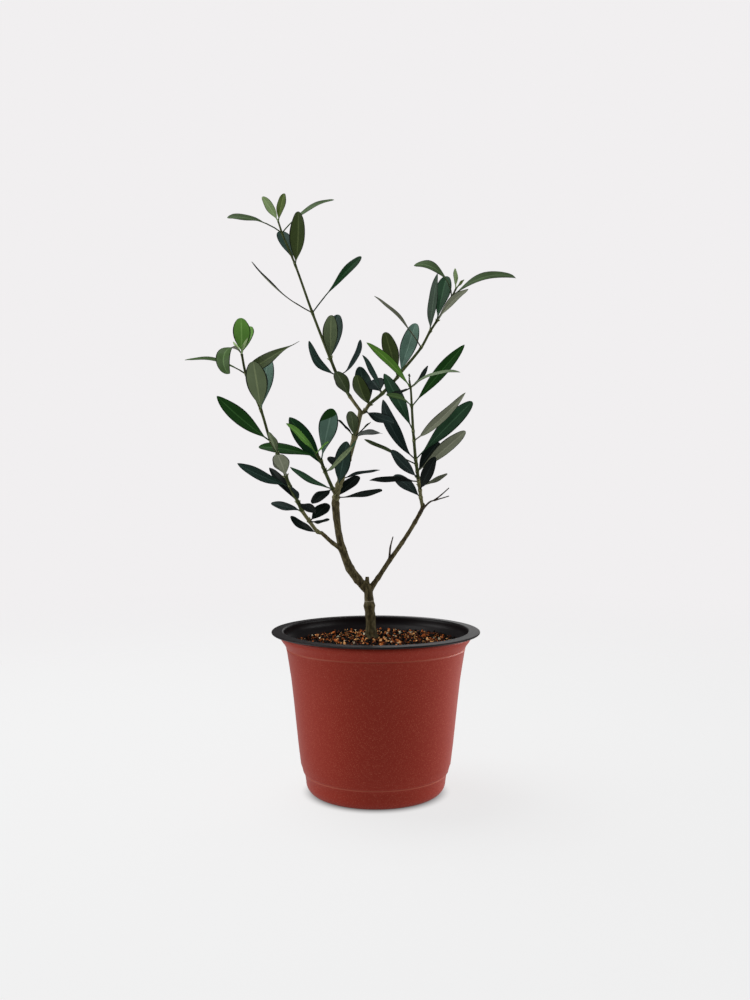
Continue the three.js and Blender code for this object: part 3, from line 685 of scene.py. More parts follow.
@dataclass
class Shape:
    """A surface in millimetres: points, faces of three or four corners and the finish number of each."""

    points: np.ndarray
    quads: np.ndarray
    quad_finish: np.ndarray
    triangles: np.ndarray = field(default_factory=lambda: np.zeros((0, 3), int))
    triangle_finish: np.ndarray = field(default_factory=lambda: np.zeros(0, int))

    @staticmethod
    def joined(shapes: list["Shape"]) -> "Shape":
        """Join shapes into one, keeping their finish numbers.

        Args:
            shapes: The shapes to join.

        Returns:
            One shape.
        """
        starts = np.cumsum([0] + [len(shape.points) for shape in shapes[:-1]])
        return Shape(
            np.concatenate([shape.points for shape in shapes]),
            np.concatenate([shape.quads + start for shape, start in zip(shapes, starts)]),
            np.concatenate([shape.quad_finish for shape in shapes]),
            np.concatenate([shape.triangles + start for shape, start in zip(shapes, starts)]),
            np.concatenate([shape.triangle_finish for shape in shapes]),
        )

    def piece(self, name: str, materials: list[bpy.types.Material], smooth: bool = True) -> bpy.types.Object:
        """Make the shape a mesh object at the origin, in metres.

        Args:
            name: The piece's plain name.
            materials: The materials that the finish numbers stand for.
            smooth: Whether its faces are shaded smooth.

        Returns:
            The object, linked to the scene.
        """
        mesh = bpy.data.meshes.new(name)
        raised = self.points + np.array([0.0, 0.0, FOOT_DROP])
        mesh.from_pydata((raised * MM).tolist(), [], self.quads.tolist() + self.triangles.tolist())
        for material in materials:
            mesh.materials.append(material)
        finish = np.concatenate([self.quad_finish, self.triangle_finish]).astype(np.int32)
        mesh.polygons.foreach_set("material_index", finish)
        mesh.polygons.foreach_set("use_smooth", np.full(len(finish), smooth))
        mesh.update()
        piece = bpy.data.objects.new(name, mesh)
        bpy.context.scene.collection.objects.link(piece)
        return piece


def dress(piece: bpy.types.Object, node: str) -> None:
    """Put a piece on the plant's body in place of a solid, and report it.

    Args:
        piece: The mesh object.
        node: The solid that it stands for.
    """
    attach(piece, BODY)
    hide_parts(node)
    log.info("%s: %d faces", piece.name, len(piece.data.polygons))


def weld(piece: bpy.types.Object, distance: float) -> None:
    """Merge a piece's corners that lie at one place.

    Args:
        piece: The mesh object.
        distance: How near they lie, in millimetres.
    """
    cells = bmesh.new()
    cells.from_mesh(piece.data)
    bmesh.ops.remove_doubles(cells, verts=cells.verts, dist=distance * MM)
    cells.to_mesh(piece.data)
    cells.free()
    piece.data.update()


def tube(rings: np.ndarray, finish: np.ndarray | int = 0, capped: bool = True) -> Shape:
    """Join a row of rings into a skin, and close it with a fan from each end ring's middle.

    Point j of ring i is rings[i, j]. Rings run counter-clockwise as seen from the far end, so that the faces
    look out.

    Args:
        rings: Ring points, as rows by sides by three.
        finish: One finish number, or one for each face as rows - 1 by sides.
        capped: Whether the ends are closed.

    Returns:
        The skin.
    """
    rows, sides = rings.shape[:2]
    near = np.arange(rows * sides).reshape(rows, sides)
    beside = np.roll(near, -1, axis=1)
    quads = np.stack([near[:-1], beside[:-1], beside[1:], near[1:]], axis=-1).reshape(-1, 4)
    quad_finish = np.broadcast_to(np.asarray(finish), (rows - 1, sides)).reshape(-1)
    points = rings.reshape(-1, 3)
    if not capped:
        return Shape(points, quads, quad_finish)
    start, end = len(points), len(points) + 1
    points = np.concatenate([points, rings[:1].mean(axis=1), rings[-1:].mean(axis=1)])
    first = np.stack([np.full(sides, start), beside[0], near[0]], axis=-1)
    last = np.stack([np.full(sides, end), near[-1], beside[-1]], axis=-1)
    finish_grid = quad_finish.reshape(rows - 1, sides)
    return Shape(
        points, quads, quad_finish, np.concatenate([first, last]),
        np.concatenate([finish_grid[0], finish_grid[-1]]),
    )


def around(sides: int) -> np.ndarray:
    """Return as many angles as there are sides, evenly spaced round a full turn from 0 up."""
    return np.linspace(0, 2 * np.pi, sides, endpoint=False)


def lathed(profile: np.ndarray, sides: int) -> np.ndarray:
    """Turn a profile about the pot's axis into rings.

    Args:
        profile: Rows of radius and height.
        sides: Points in a ring.

    Returns:
        Ring points as rows by sides by three.
    """
    turn = around(sides)
    radius, height = profile[:, :1], profile[:, 1:]
    return np.stack([radius * np.cos(turn), radius * np.sin(turn), height + 0 * turn], axis=-1)


def in_space(seen: np.ndarray) -> np.ndarray:
    """Push places given as seen along the sight line to their depth.

    The point lies on the line from the viewpoint through the seen place, where it crosses its own depth.

    Args:
        seen: Places as x, z, back in the last axis.

    Returns:
        Points as x, y, z.
    """
    seen = np.asarray(seen, dtype=float)
    reach = 1 + seen[..., 2] / VIEW_DISTANCE
    return np.stack(
        [seen[..., 0] * reach, seen[..., 2], VIEW_HEIGHT + (seen[..., 1] - VIEW_HEIGHT) * reach], axis=-1
    )


def smooth_line(places: np.ndarray, steps: int) -> tuple[np.ndarray, np.ndarray]:
    """Carry a smooth curve through a limb's places.

    Each stretch is the cubic whose end slopes come from the neighbouring places, weighed by the square roots
    of their distances. Beyond the ends a place is mirrored.

    Args:
        places: Rows of x, z, back and radius as seen.
        steps: Points for each stretch.

    Returns:
        Points in space, and the radius at each.
    """
    places = np.asarray(places, dtype=float)
    knots = in_space(places[:, :3])
    padded = np.concatenate([[2 * knots[0] - knots[1]], knots, [2 * knots[-1] - knots[-2]]])
    spans = np.linalg.norm(np.diff(padded, axis=0), axis=1) ** 0.5
    before, over, after = spans[:-2, None], spans[1:-1, None], spans[2:, None]
    p0, p1, p2, p3 = padded[:-3], padded[1:-2], padded[2:-1], padded[3:]
    slope1 = ((p1 - p0) / before - (p2 - p0) / (before + over) + (p2 - p1) / over) * over
    slope2 = ((p2 - p1) / over - (p3 - p1) / (over + after) + (p3 - p2) / after) * over
    share = (np.arange(steps) / steps)[None, :, None]
    cubic = (
        p1[:, None] + slope1[:, None] * share
        + (-3 * p1 + 3 * p2 - 2 * slope1 - slope2)[:, None] * share ** 2
        + (2 * p1 - 2 * p2 + slope1 + slope2)[:, None] * share ** 3
    )
    radii = places[:-1, 3][:, None] + (places[1:, 3] - places[:-1, 3])[:, None] * share[0, :, 0]
    return (
        np.concatenate([cubic.reshape(-1, 3), knots[-1:]]),
        np.concatenate([radii.reshape(-1), places[-1:, 3]]),
    )


def limb_rings(points: np.ndarray, radii: np.ndarray) -> np.ndarray:
    """Set a ring round each point of a line.

    The ring's first axis is the depth axis made square to the line, and its second is square to both.

    Args:
        points: Points of the line.
        radii: Radii as rows by sides.

    Returns:
        Ring points as rows by sides by three.
    """
    along = np.gradient(points, axis=0)
    along /= np.linalg.norm(along, axis=1, keepdims=True)
    across = np.array([0.0, 1.0, 0.0]) - along * along[:, 1:2]
    across /= np.linalg.norm(across, axis=1, keepdims=True)
    third = np.cross(along, across)
    turn = around(radii.shape[1])[None, :, None]
    circle = np.cos(turn) * across[:, None] + np.sin(turn) * third[:, None]
    return points[:, None] + circle * radii[..., None]


def arc_length(points: np.ndarray) -> np.ndarray:
    """Return how far along a line each of its points lies: the sum of the steps before it."""
    return np.concatenate([[0.0], np.cumsum(np.linalg.norm(np.diff(points, axis=0), axis=1))])


@dataclass(frozen=True)
class LimbSkin:
    """The relief on a limb: a collar at its root, swellings at its nodes, and lengthwise ripples.

    collar, swelling and ripple are shares of the radius. collar_mm and swelling_mm are how far the first two
    reach along the limb. A scar is a ring of the next finish, round the limb at one height.
    """

    sides: int = 32
    steps: int = 14
    collar: float = 0.0
    collar_mm: float = 3.0
    swelling: float = 0.2
    swelling_mm: float = 1.3
    ripple: float = 0.05
    seed: int = 5
    scar_height: float | None = None
    scar_mm: float = 0.4

    UNEVEN = (0.5, 1.3)
    RIPPLE_WAVES = (2, 3, 5, 8, 11)
    RIPPLE_PACE = (0.15, 0.9)
    RIPPLE_DRIFT = (-0.2, 0.2)
    RIPPLE_FADE = 0.6

    def shape(self, places: np.ndarray, finish: int = 0) -> Shape:
        """Build a limb with relief.

        The radius is the tapering one, times one plus a collar that fades from the root, a bell at each
        node, and a sum of sines that run round and slowly along the limb.

        Args:
            places: Rows of x, z, back and radius as seen.
            finish: The finish number.

        Returns:
            The closed limb.
        """
        points, radius = smooth_line(places, self.steps)
        run = arc_length(points)
        nodes = run[:: self.steps]
        draw = np.random.default_rng(self.seed)
        bells = np.exp(-(((run[:, None] - nodes[None, 1:-1]) / self.swelling_mm) ** 2))
        uneven = draw.uniform(*self.UNEVEN, bells.shape[1])
        grown = 1 + self.collar * np.exp(-run / self.collar_mm)
        grown += self.swelling * (bells * uneven).sum(axis=1)
        turn = around(self.sides)
        ripples = np.zeros((len(points), self.sides))
        for waves in self.RIPPLE_WAVES:
            pace = draw.uniform(*self.RIPPLE_PACE)
            phase = draw.uniform(0, ALMOST_A_TURN)
            drift = draw.uniform(*self.RIPPLE_DRIFT)
            size = np.sin(run * pace + phase)[:, None] / waves ** self.RIPPLE_FADE
            ripples += size * np.sin(waves * turn[None] + phase + drift * run[:, None])
        radii = radius[:, None] * (grown[:, None] + self.ripple * ripples)
        finishes = np.full((len(points) - 1, self.sides), finish)
        if self.scar_height:
            finishes[np.abs(points[:-1, 2] - self.scar_height) < self.scar_mm] = finish + 1
        return tube(limb_rings(points, radii), finishes)


class LeafRule:
    """The rule that gives each leaf its room, the same as the solids'."""

    def __init__(self) -> None:
        """Start with the limbs and sprays' stems in the way, and no leaf."""
        self.blades: list[np.ndarray] = []
        limbs = (TRUNK, MAIN_STEM, LEFT_BOUGH, RIGHT_BOUGH, *DEAD_TWIGS)
        lines = [smooth_line(places, RINGS_PER_STRETCH) for places in limbs]
        stems = (CENTRE_SPRAY, SHORT_SPRAY, LEFT_SPRAY, RIGHT_SPRAY, CROWN_RIGHT_SPRAY, CROWN_LEFT_SPRAY)
        lines += [smooth_line([at.place for at in joints], RINGS_PER_STRETCH) for joints in stems]
        spots = [self.spots(*line) for line in lines]
        self.limb_points = np.concatenate([points for points, _ in spots])
        self.limb_radii = np.concatenate([radii for _, radii in spots])

    @staticmethod
    def spots(points: np.ndarray, radii: np.ndarray) -> tuple[np.ndarray, np.ndarray]:
        """Spread spots about a millimetre apart along a limb.

        Args:
            points: The line.
            radii: The radius at each of its points.

        Returns:
            The spots and their radii.
        """
        places, sizes = [], []
        for at in range(len(points) - 1):
            count = max(1, int(math.floor(np.linalg.norm(points[at + 1] - points[at]) + 0.5)))
            share = (np.arange(count) / count)[:, None]
            places.append(points[at] + (points[at + 1] - points[at]) * share)
            sizes.append(radii[at] + (radii[at + 1] - radii[at]) * share[:, 0])
        return np.concatenate(places), np.concatenate(sizes)

    def is_clear(self, samples: np.ndarray) -> bool:
        """Tell whether a blade keeps clear of the limbs and of the blades before it.

        Args:
            samples: Points spread over the blade.

        Returns:
            True where it is clear.
        """
        gaps = np.linalg.norm(samples[:, None] - self.limb_points[None], axis=2)
        if (gaps < self.limb_radii[None] + LIMB_CLEARANCE).any():
            return False
        middle = samples[len(samples) // 2]
        for other in self.blades:
            if np.linalg.norm(middle - other[len(other) // 2]) > BLADE_REACH:
                continue
            if (np.linalg.norm(samples[:, None] - other[None], axis=2) < LEAF_CLEARANCE).any():
                return False
        return True

    def settle(self, root: np.ndarray, leaf: Leaf) -> "Blade | None":
        """Find a leaf's room: as given, or swung back and forward by whole steps.

        Args:
            root: The leaf's root in space.
            leaf: The leaf.

        Returns:
            The settled blade, or None where it finds no room.
        """
        for attempt in range(SWING_TRIES):
            steps = (attempt + 1) // 2
            swing = (steps if attempt % 2 == 1 else -steps) * SWING_STEP
            blade = Blade(root, leaf, leaf.back + swing)
            samples = blade.samples()
            if self.is_clear(samples):
                self.blades.append(samples)
                return blade
        return None


class SeededRule:
    """A repeatable run of numbers from 0 to 1."""

    MULTIPLIER = 1664525
    INCREMENT = 1013904223
    SPAN = 2 ** 32

    def __init__(self, seed: int) -> None:
        """Start the run at a seed."""
        self.state = seed

    def draw(self) -> float:
        """Return the next number: the state times one constant plus another, cut to 32 bits."""
        self.state = (self.state * self.MULTIPLIER + self.INCREMENT) % self.SPAN
        return self.state / self.SPAN

    def between(self, ends: tuple[float, float]) -> float:
        """Return a number between two ends, by the next draw."""
        return ends[0] + (ends[1] - ends[0]) * self.draw()


def unit(vector: np.ndarray) -> np.ndarray:
    """Return a vector divided by its length."""
    return vector / np.linalg.norm(vector)


class Blade:
    """A leaf in space: its frame, and the surface worked out from it.

    ACROSS is where a side's points lie over its half widths. ROUND_FADE is how fast the stalk's round
    section passes into the blade's flat one, and TIP_FLATTENING how near the tip the midrib and the rims'
    wave end.
    """

    ROWS = 26
    THICKNESS = 0.5
    THICKNESS_SHARE = 0.01
    THINNED_TO_TIP = 0.4
    STALK_HALF_WIDTH = 0.5
    NARROWED_TO_TIP = 0.75
    ROUND_FADE = 14.0
    RIB_HALF_WIDTH = 0.5
    UPPER_GROOVE = -0.12
    LOWER_RIDGE = -0.3
    RIM_WAVES = 1.5
    RIM_WAVE = 0.35
    TIP_FLATTENING = 8.0
    TIP_SLANT = 0.12
    TIP_SLANT_FALL = 4
    ACROSS = np.array([-1.0, -0.88, -0.7, -0.38, -0.08, 0.08, 0.38, 0.7, 0.88, 1.0])

    def __init__(self, root: np.ndarray, leaf: Leaf, back: float) -> None:
        """Work out the leaf's frame.

        The chord runs from root to tip. The upper side's direction starts square to the chord, towards the
        viewer, and turns about the chord by the leaf's face angle.

        Args:
            root: The leaf's root in space.
            leaf: The leaf's sizes.
            back: How far back its tip lies once it is settled.
        """
        self.leaf = leaf
        self.root = root
        reach = 1 + root[1] / VIEW_DISTANCE
        heading = math.radians(leaf.heading)
        tip = in_space(np.array([
            root[0] / reach + leaf.length * math.sin(heading),
            VIEW_HEIGHT + (root[2] - VIEW_HEIGHT) / reach + leaf.length * math.cos(heading),
            root[1] + back,
        ]))
        self.length = float(np.linalg.norm(tip - root))
        self.chord = unit(tip - root)
        to_viewer = unit(np.array([0.0, -VIEW_DISTANCE, VIEW_HEIGHT]) - root)
        facing = unit(to_viewer - self.chord * to_viewer.dot(self.chord))
        upward = np.cross(self.chord, facing)
        if upward[2] <= 0:
            upward = -upward
        turn = math.radians(leaf.face)
        self.upper = unit(facing * math.cos(turn) + upward * math.sin(turn))
        self.across = np.cross(self.chord, self.upper)
        self.start = leaf.stalk / self.length

    def half_width(self, share: np.ndarray) -> np.ndarray:
        """Return half the blade's width: a sine hump, highest where the blade is widest, and filled out.

        Broad leaves, and those that are widest far out, fill out more at the tip.

        Args:
            share: Share of the blade's length.

        Returns:
            Half the width there.
        """
        leaf = self.leaf
        is_blunt = leaf.width / leaf.length > BLUNT_FROM or leaf.widest > USUAL_WIDEST
        tip = BLUNT_FULLNESS if is_blunt else POINTED_FULLNESS
        skew = math.log(0.5) / math.log(leaf.widest)
        along = np.clip(share, 0, 1)
        hump = np.clip(np.sin(np.pi * along ** skew), 0, None)
        return leaf.width / 2 * hump ** (BASE_FULLNESS + (tip + leaf.tail - BASE_FULLNESS) * along)

    def place(self, share: np.ndarray, sideways: np.ndarray, raised: np.ndarray) -> np.ndarray:
        """Set points along a circular arc over the chord, then sideways and up from it.

        Args:
            share: Share of the leaf's length.
            sideways: How far across the blade.
            raised: How far above the arc.

        Returns:
            The points.
        """
        bend = math.radians(self.leaf.bend)
        arc = max(abs(bend), LEAST_BEND)
        over = -1.0 if bend > 0 else 1.0
        radius = self.length / (2 * math.sin(arc / 2))
        angle = (share - 0.5) * arc
        along = self.length / 2 + radius * np.sin(angle)
        above = over * radius * (np.cos(angle) - math.cos(arc / 2))
        local_up = np.cos(angle)[..., None] * self.upper + (over * np.sin(angle))[..., None] * self.chord
        return (
            self.root + along[..., None] * self.chord + above[..., None] * self.upper
            + raised[..., None] * local_up + sideways[..., None] * self.across
        )

    def samples(self) -> np.ndarray:
        """Spread points over the blade, for telling how near it comes to its neighbours.

        Returns:
            The points, row by row.
        """
        share = FIRST_SAMPLE + (1 - FIRST_SAMPLE) * np.arange(SAMPLES_ALONG) / (SAMPLES_ALONG - 1)
        half = self.half_width((share - self.start) / (1 - self.start))[:, None]
        side = (2 * np.arange(SAMPLES_ACROSS) / (SAMPLES_ACROSS - 1) - 1)[None]
        points = self.place(
            np.broadcast_to(share[:, None], (SAMPLES_ALONG, SAMPLES_ACROSS)),
            side * half, np.abs(side) * half * FOLD_SLOPE,
        )
        return points.reshape(-1, 3)

    def skin(
        self, side: np.ndarray, on_blade: np.ndarray, wave_phase: float
    ) -> tuple[np.ndarray, np.ndarray]:
        """Work out how far across and how high the skin's points lie.

        The half width follows the blade's outline. The height is an ellipse's, on a shallow fold, with a
        groove along the upper midrib, a ridge along the lower one and a slow wave along the rims. At the
        stalk the section is round.

        Args:
            side: Share of the half width of each point of a ring, the upper side's first.
            on_blade: Share of the blade's length, as rows by sides.
            wave_phase: Where the rims' wave starts.

        Returns:
            The distances across, and the heights.
        """
        least = self.STALK_HALF_WIDTH * (1 - self.NARROWED_TO_TIP * on_blade)
        sideways = side * np.maximum(self.half_width(on_blade), least)
        round_part = np.exp(-on_blade * self.ROUND_FADE)
        flat = 1 - round_part
        blade_thick = max(self.THICKNESS, self.length * self.THICKNESS_SHARE)
        rounder = (2 * self.STALK_HALF_WIDTH - blade_thick) * round_part
        thick = blade_thick * (1 - on_blade * self.THINNED_TO_TIP) + rounder
        is_top = np.arange(side.shape[1])[None] < len(self.ACROSS)
        ellipse = np.sqrt(np.clip(1 - side ** 2, 0, None))
        height = np.where(is_top, 0.5, -0.5) * ellipse * thick
        depth = np.where(is_top, self.UPPER_GROOVE, self.LOWER_RIDGE)
        rib = np.exp(-((sideways / self.RIB_HALF_WIDTH) ** 2)) * flat * depth
        ripple = np.sin(2 * np.pi * self.RIM_WAVES * on_blade + wave_phase)
        wave = ripple * side ** 2 * self.RIM_WAVE * flat
        fade = np.clip((1 - on_blade) * self.TIP_FLATTENING, 0, 1)
        fold = np.abs(sideways) * FOLD_SLOPE * flat
        return sideways, height + (rib + wave) * fade + fold

    def shape(self, finishes: "LeafFinishes", wave_phase: float) -> Shape:
        """Build the leaf's closed skin from flattened rings, close together near the blade's ends.

        Where the tip has its own tone, the rows near it lean by TIP_SLANT to each side, so that the border
        runs aslant.

        Args:
            finishes: Gives each side's finish numbers.
            wave_phase: Where the rims' wave starts.

        Returns:
            The leaf.
        """
        blade_share = (1 - np.cos(np.linspace(0, np.pi, self.ROWS))) / 2
        row_share = np.concatenate([[0.0, self.start / 2], self.start + (1 - self.start) * blade_share])
        row_on_blade = np.clip((row_share - self.start) / (1 - self.start), 0, 1)
        side = np.concatenate([self.ACROSS, self.ACROSS[-2:0:-1]])[None]
        slant = self.TIP_SLANT if self.leaf.tip_tone else 0.0
        shift = slant * side * np.sin(np.pi * row_on_blade ** self.TIP_SLANT_FALL)[:, None]
        on_blade = np.clip(row_on_blade[:, None] + shift, 0, 1)
        share = row_share[:, None] + (on_blade - row_on_blade[:, None]) * (1 - self.start)
        points = self.place(share, *self.skin(side, on_blade, wave_phase))
        return tube(points, finishes.numbers(self.leaf, row_on_blade, len(self.ACROSS)))


class LeafFinishes:
    """Hands out finish numbers for the sides and parts of leaves, and builds their materials."""

    EDGE_ON = 90
    TIP_SHARE = 0.84
    UNSEEN_UPPER = Tone.PINE
    UNSEEN_UNDER = Tone.STONE
    YOUNG = (Tone.LIME, Tone.APPLE, Tone.BUD, Tone.OLIVE)
    YOUNG_UNDER = Tone.REED

    def __init__(self) -> None:
        """Number every part of every tone."""
        self.order = [(tone, part) for tone in Tone for part in Part]
        self.materials = [LeafSide(tone, part).material() for tone, part in self.order]

    def numbers(self, leaf: Leaf, on_blade: np.ndarray, top_count: int) -> np.ndarray:
        """Deal out finishes over a leaf's faces.

        Args:
            leaf: The leaf.
            on_blade: Each row's share of the blade.
            top_count: Ring points on the upper side.

        Returns:
            Finish numbers as rows - 1 by sides.
        """
        shows_upper = leaf.face <= self.EDGE_ON
        upper = leaf.tone if shows_upper else self.UNSEEN_UPPER
        unseen_under = self.YOUNG_UNDER if leaf.tone in self.YOUNG else self.UNSEEN_UNDER
        under = unseen_under if shows_upper else leaf.tone
        strips = top_count - 1
        # The outer strip on each side takes the rim colour: painted shade along the leaf's edge.
        parts = [Part.RIM] + [Part.BLADE] * (strips - 2) + [Part.RIM]
        parts[strips // 2] = Part.RIB
        row = [self.order.index((upper, part)) for part in parts]
        row += [self.order.index((under, part)) for part in parts]
        numbers = np.tile(np.array(row), (len(on_blade) - 1, 1))
        if leaf.tip_tone:
            tip = self.order.index((leaf.tip_tone, Part.BLADE))
            numbers[on_blade[1:] > self.TIP_SHARE, 1:-1] = tip
        return numbers


class StemPart(IntEnum):
    """The parts of a spray's stem, in the order of its finishes."""

    WOODY = 0
    GREEN = 1
    BUD = 2


@dataclass(frozen=True)
class Spray:
    """A leafy spray: a stem with swollen nodes and axil buds, and its leaves.

    seed starts its random draws, and green_from is the stretch from which its stem is green, if it is.
    """

    name: str
    joints: tuple[Joint, ...]
    seed: int
    green_from: int | None
    sides: int = 16
    steps: int = 10
    node_swelling: float = 0.28
    node_mm: float = 1.1
    ridges: int = 4
    ridge: float = 0.05
    ridge_twist: float = 0.05
    bud_sides: int = 8
    bud_rows: int = 7
    bud_fullness: float = 0.8
    bud_sizes: tuple[float, float] = (0.32, 0.55)
    bud_slimness: float = 5.5
    bud_lean: float = 0.7
    bud_seat: float = 0.75
    bud_least: float = 0.02
    bud_full_radius: float = 0.8

    def settled(self, rule: LeafRule) -> list[Blade]:
        """Settle the seen leaves, and then the hidden partners in the room that is left.

        Args:
            rule: The rule that knows what is in the way.

        Returns:
            The blades that found room.
        """
        run = SeededRule(self.seed)
        blades, partners = [], []
        for at in self.joints:
            root = in_space(np.array(at.place[:3]))
            for leaf in at.leaves:
                blades.append(rule.settle(root, leaf))
                if leaf.has_partner:
                    partners.append((root, self.partner(leaf, run)))
        blades += [rule.settle(root, leaf) for root, leaf in partners]
        return [blade for blade in blades if blade]

    @staticmethod
    def partner(leaf: Leaf, run: SeededRule) -> Leaf:
        """Return the hidden partner: half a turn about the stem, with sizes drawn by the seeded rule.

        Args:
            leaf: The seen leaf.
            run: The seeded rule.

        Returns:
            The partner.
        """
        heading = leaf.heading + (run.draw() - 0.5) * PARTNER_HEADING_SPREAD
        length = leaf.length * run.between(PARTNER_LENGTH)
        back = -leaf.back * run.between(PARTNER_DEPTH)
        width = leaf.width * run.between(PARTNER_WIDTH)
        bend = run.between(PARTNER_BEND)
        return Leaf(heading, length, back, width, 180 - leaf.face, bend, leaf.tone, leaf.stalk, leaf.widest)

    def stem(self) -> Shape:
        """Build the stem, woody below and green above, with a pair of buds at each node.

        The radius is the tapering one, times one plus a bell at each node and a few slowly twisting ridges.

        Returns:
            The stem and its buds.
        """
        places = np.array([at.place for at in self.joints])
        points, radius = smooth_line(places, self.steps)
        run = arc_length(points)
        nodes = run[:: self.steps]
        bells = np.exp(-(((run[:, None] - nodes[None, 1:]) / self.node_mm) ** 2)).sum(axis=1)
        twist = run[:, None] * self.ridge_twist
        ridges = self.ridge * np.sin(self.ridges * around(self.sides)[None] + twist)
        radii = radius[:, None] * (1.0 + self.node_swelling * bells[:, None] + ridges)
        finish = np.full((len(points) - 1, self.sides), StemPart.WOODY)
        if self.green_from:
            finish[self.green_from * self.steps:] = StemPart.GREEN
        skin = tube(limb_rings(points, radii), finish)
        return Shape.joined([skin] + self.buds(points, radius))

    def buds(self, points: np.ndarray, radius: np.ndarray) -> list[Shape]:
        """Build the axil buds: small pointed drops that lean along the stem.

        Their sizes are drawn, and are smaller where the stem's radius is below bud_full_radius.

        Args:
            points: The stem's line.
            radius: Its radius there.

        Returns:
            The buds.
        """
        draw = np.random.default_rng(self.seed)
        share = np.linspace(0, 1, self.bud_rows)
        outline = np.sin(np.pi * share ** self.bud_fullness) ** self.bud_fullness
        shapes = []
        for at in range(self.steps, len(points) - 1, self.steps):
            along = unit(points[at + 1] - points[at - 1])
            out = unit(np.cross(along, draw.normal(size=3)))
            for side in (-1, 1):
                size = draw.uniform(*self.bud_sizes) * min(1.0, 1.0 + radius[at] - self.bud_full_radius)
                lean = unit(along + side * out * self.bud_lean)
                seat = points[at] + side * out * radius[at] * self.bud_seat
                line = seat + lean * share[:, None] * size * self.bud_slimness
                radii = np.tile((outline * size + self.bud_least)[:, None], (1, self.bud_sides))
                shapes.append(tube(limb_rings(line, radii), StemPart.BUD))
        return shapes


SPRAYS = (
    Spray("centre_spray", CENTRE_SPRAY, seed=37, green_from=None),
    Spray("short_spray", SHORT_SPRAY, seed=11, green_from=1),
    Spray("left_spray", LEFT_SPRAY, seed=23, green_from=3),
    Spray("right_spray", RIGHT_SPRAY, seed=41, green_from=5),
    Spray("crown_right_spray", CROWN_RIGHT_SPRAY, seed=53, green_from=2),
    Spray("crown_left_spray", CROWN_LEFT_SPRAY, seed=67, green_from=1),
)


@dataclass
class Tree:
    """The plant: woody limbs with bark relief, and leafy sprays."""

    wood: Bark = Bark("young_olive_bark", "251e0f", "4a4229", "766c4c")
    scar: Bark = Bark("bark_scar", "6b6450", "857d69", "9d9582", streak_mm=1.2, depth_mm=0.1)
    twig_wood: Bark = Bark(
        "olive_twig_bark", "454429", "625f3e", "7b785a", streak_mm=2.6, depth_mm=0.06, detail=2.0,
        relief=0.2,
    )
    shoot: Bark = Bark(
        "green_olive_shoot", "28300f", "363f1b", "4a5230", streak_mm=2.8, depth_mm=0.03, detail=2.0,
        relief=0.15,
    )
    bud: Bark = Bark(
        "olive_bud_scale", "5f6540", "7b8158", "979c72", streak_mm=1.5, depth_mm=0.04, detail=2.0,
        relief=0.15,
    )
    dead_wood: Bark = Bark(
        "dry_twig", "241e17", "3d342a", "5b5144", streak_mm=1.6, depth_mm=0.1, detail=2.0, relief=0.3
    )

    def build_limbs(self) -> None:
        """Build the trunk, the main stem and the two boughs."""
        wood = self.wood.material()
        dead = self.dead_wood.material()
        thick = LimbSkin(sides=48, steps=22, swelling=0.1, swelling_mm=1.8, ripple=0.035)
        scarred = replace(thick, scar_height=TRUNK_SCAR)
        slim = LimbSkin(sides=28, steps=16, collar=0.45, swelling=0.16, ripple=0.04, seed=9)
        dry = LimbSkin(sides=12, steps=8, collar=0.8, collar_mm=1.5, swelling=0.3, ripple=0.08, seed=3)
        stub = LimbSkin(sides=24, steps=10, swelling=0.05, ripple=0.06, seed=8)
        twigs = [dry.shape(twig, 1) for twig in DEAD_TWIGS]
        limbs = (
            ("trunk", [scarred.shape(TRUNK), stub.shape(TRUNK_STUB)], [wood, self.scar.material()]),
            ("main_stem", [thick.shape(MAIN_STEM)], [wood]),
            ("left_bough", [slim.shape(LEFT_BOUGH)], [wood]),
            ("right_bough", [slim.shape(RIGHT_BOUGH)] + twigs, [wood, dead]),
        )
        for node, shapes, materials in limbs:
            dress(Shape.joined(shapes).piece(f"{node}_bark", materials), node)

    def build_sprays(self) -> None:
        """Build each spray's stems and leaves as two pieces that stand for its solid."""
        rule = LeafRule()
        finishes = LeafFinishes()
        stem_materials = [self.twig_wood.material(), self.shoot.material(), self.bud.material()]
        for spray in SPRAYS:
            draw = np.random.default_rng(spray.seed)
            blades = spray.settled(rule)
            leaves = [blade.shape(finishes, draw.uniform(0, ALMOST_A_TURN)) for blade in blades]
            leaf_piece = Shape.joined(leaves).piece(f"{spray.name}_leaves", finishes.materials)
            dress(leaf_piece, spray.name)
            dress(spray.stem().piece(f"{spray.name}_stems", stem_materials), spray.name)

    def build(self) -> None:
        """Build the whole plant."""
        self.build_limbs()
        self.build_sprays()


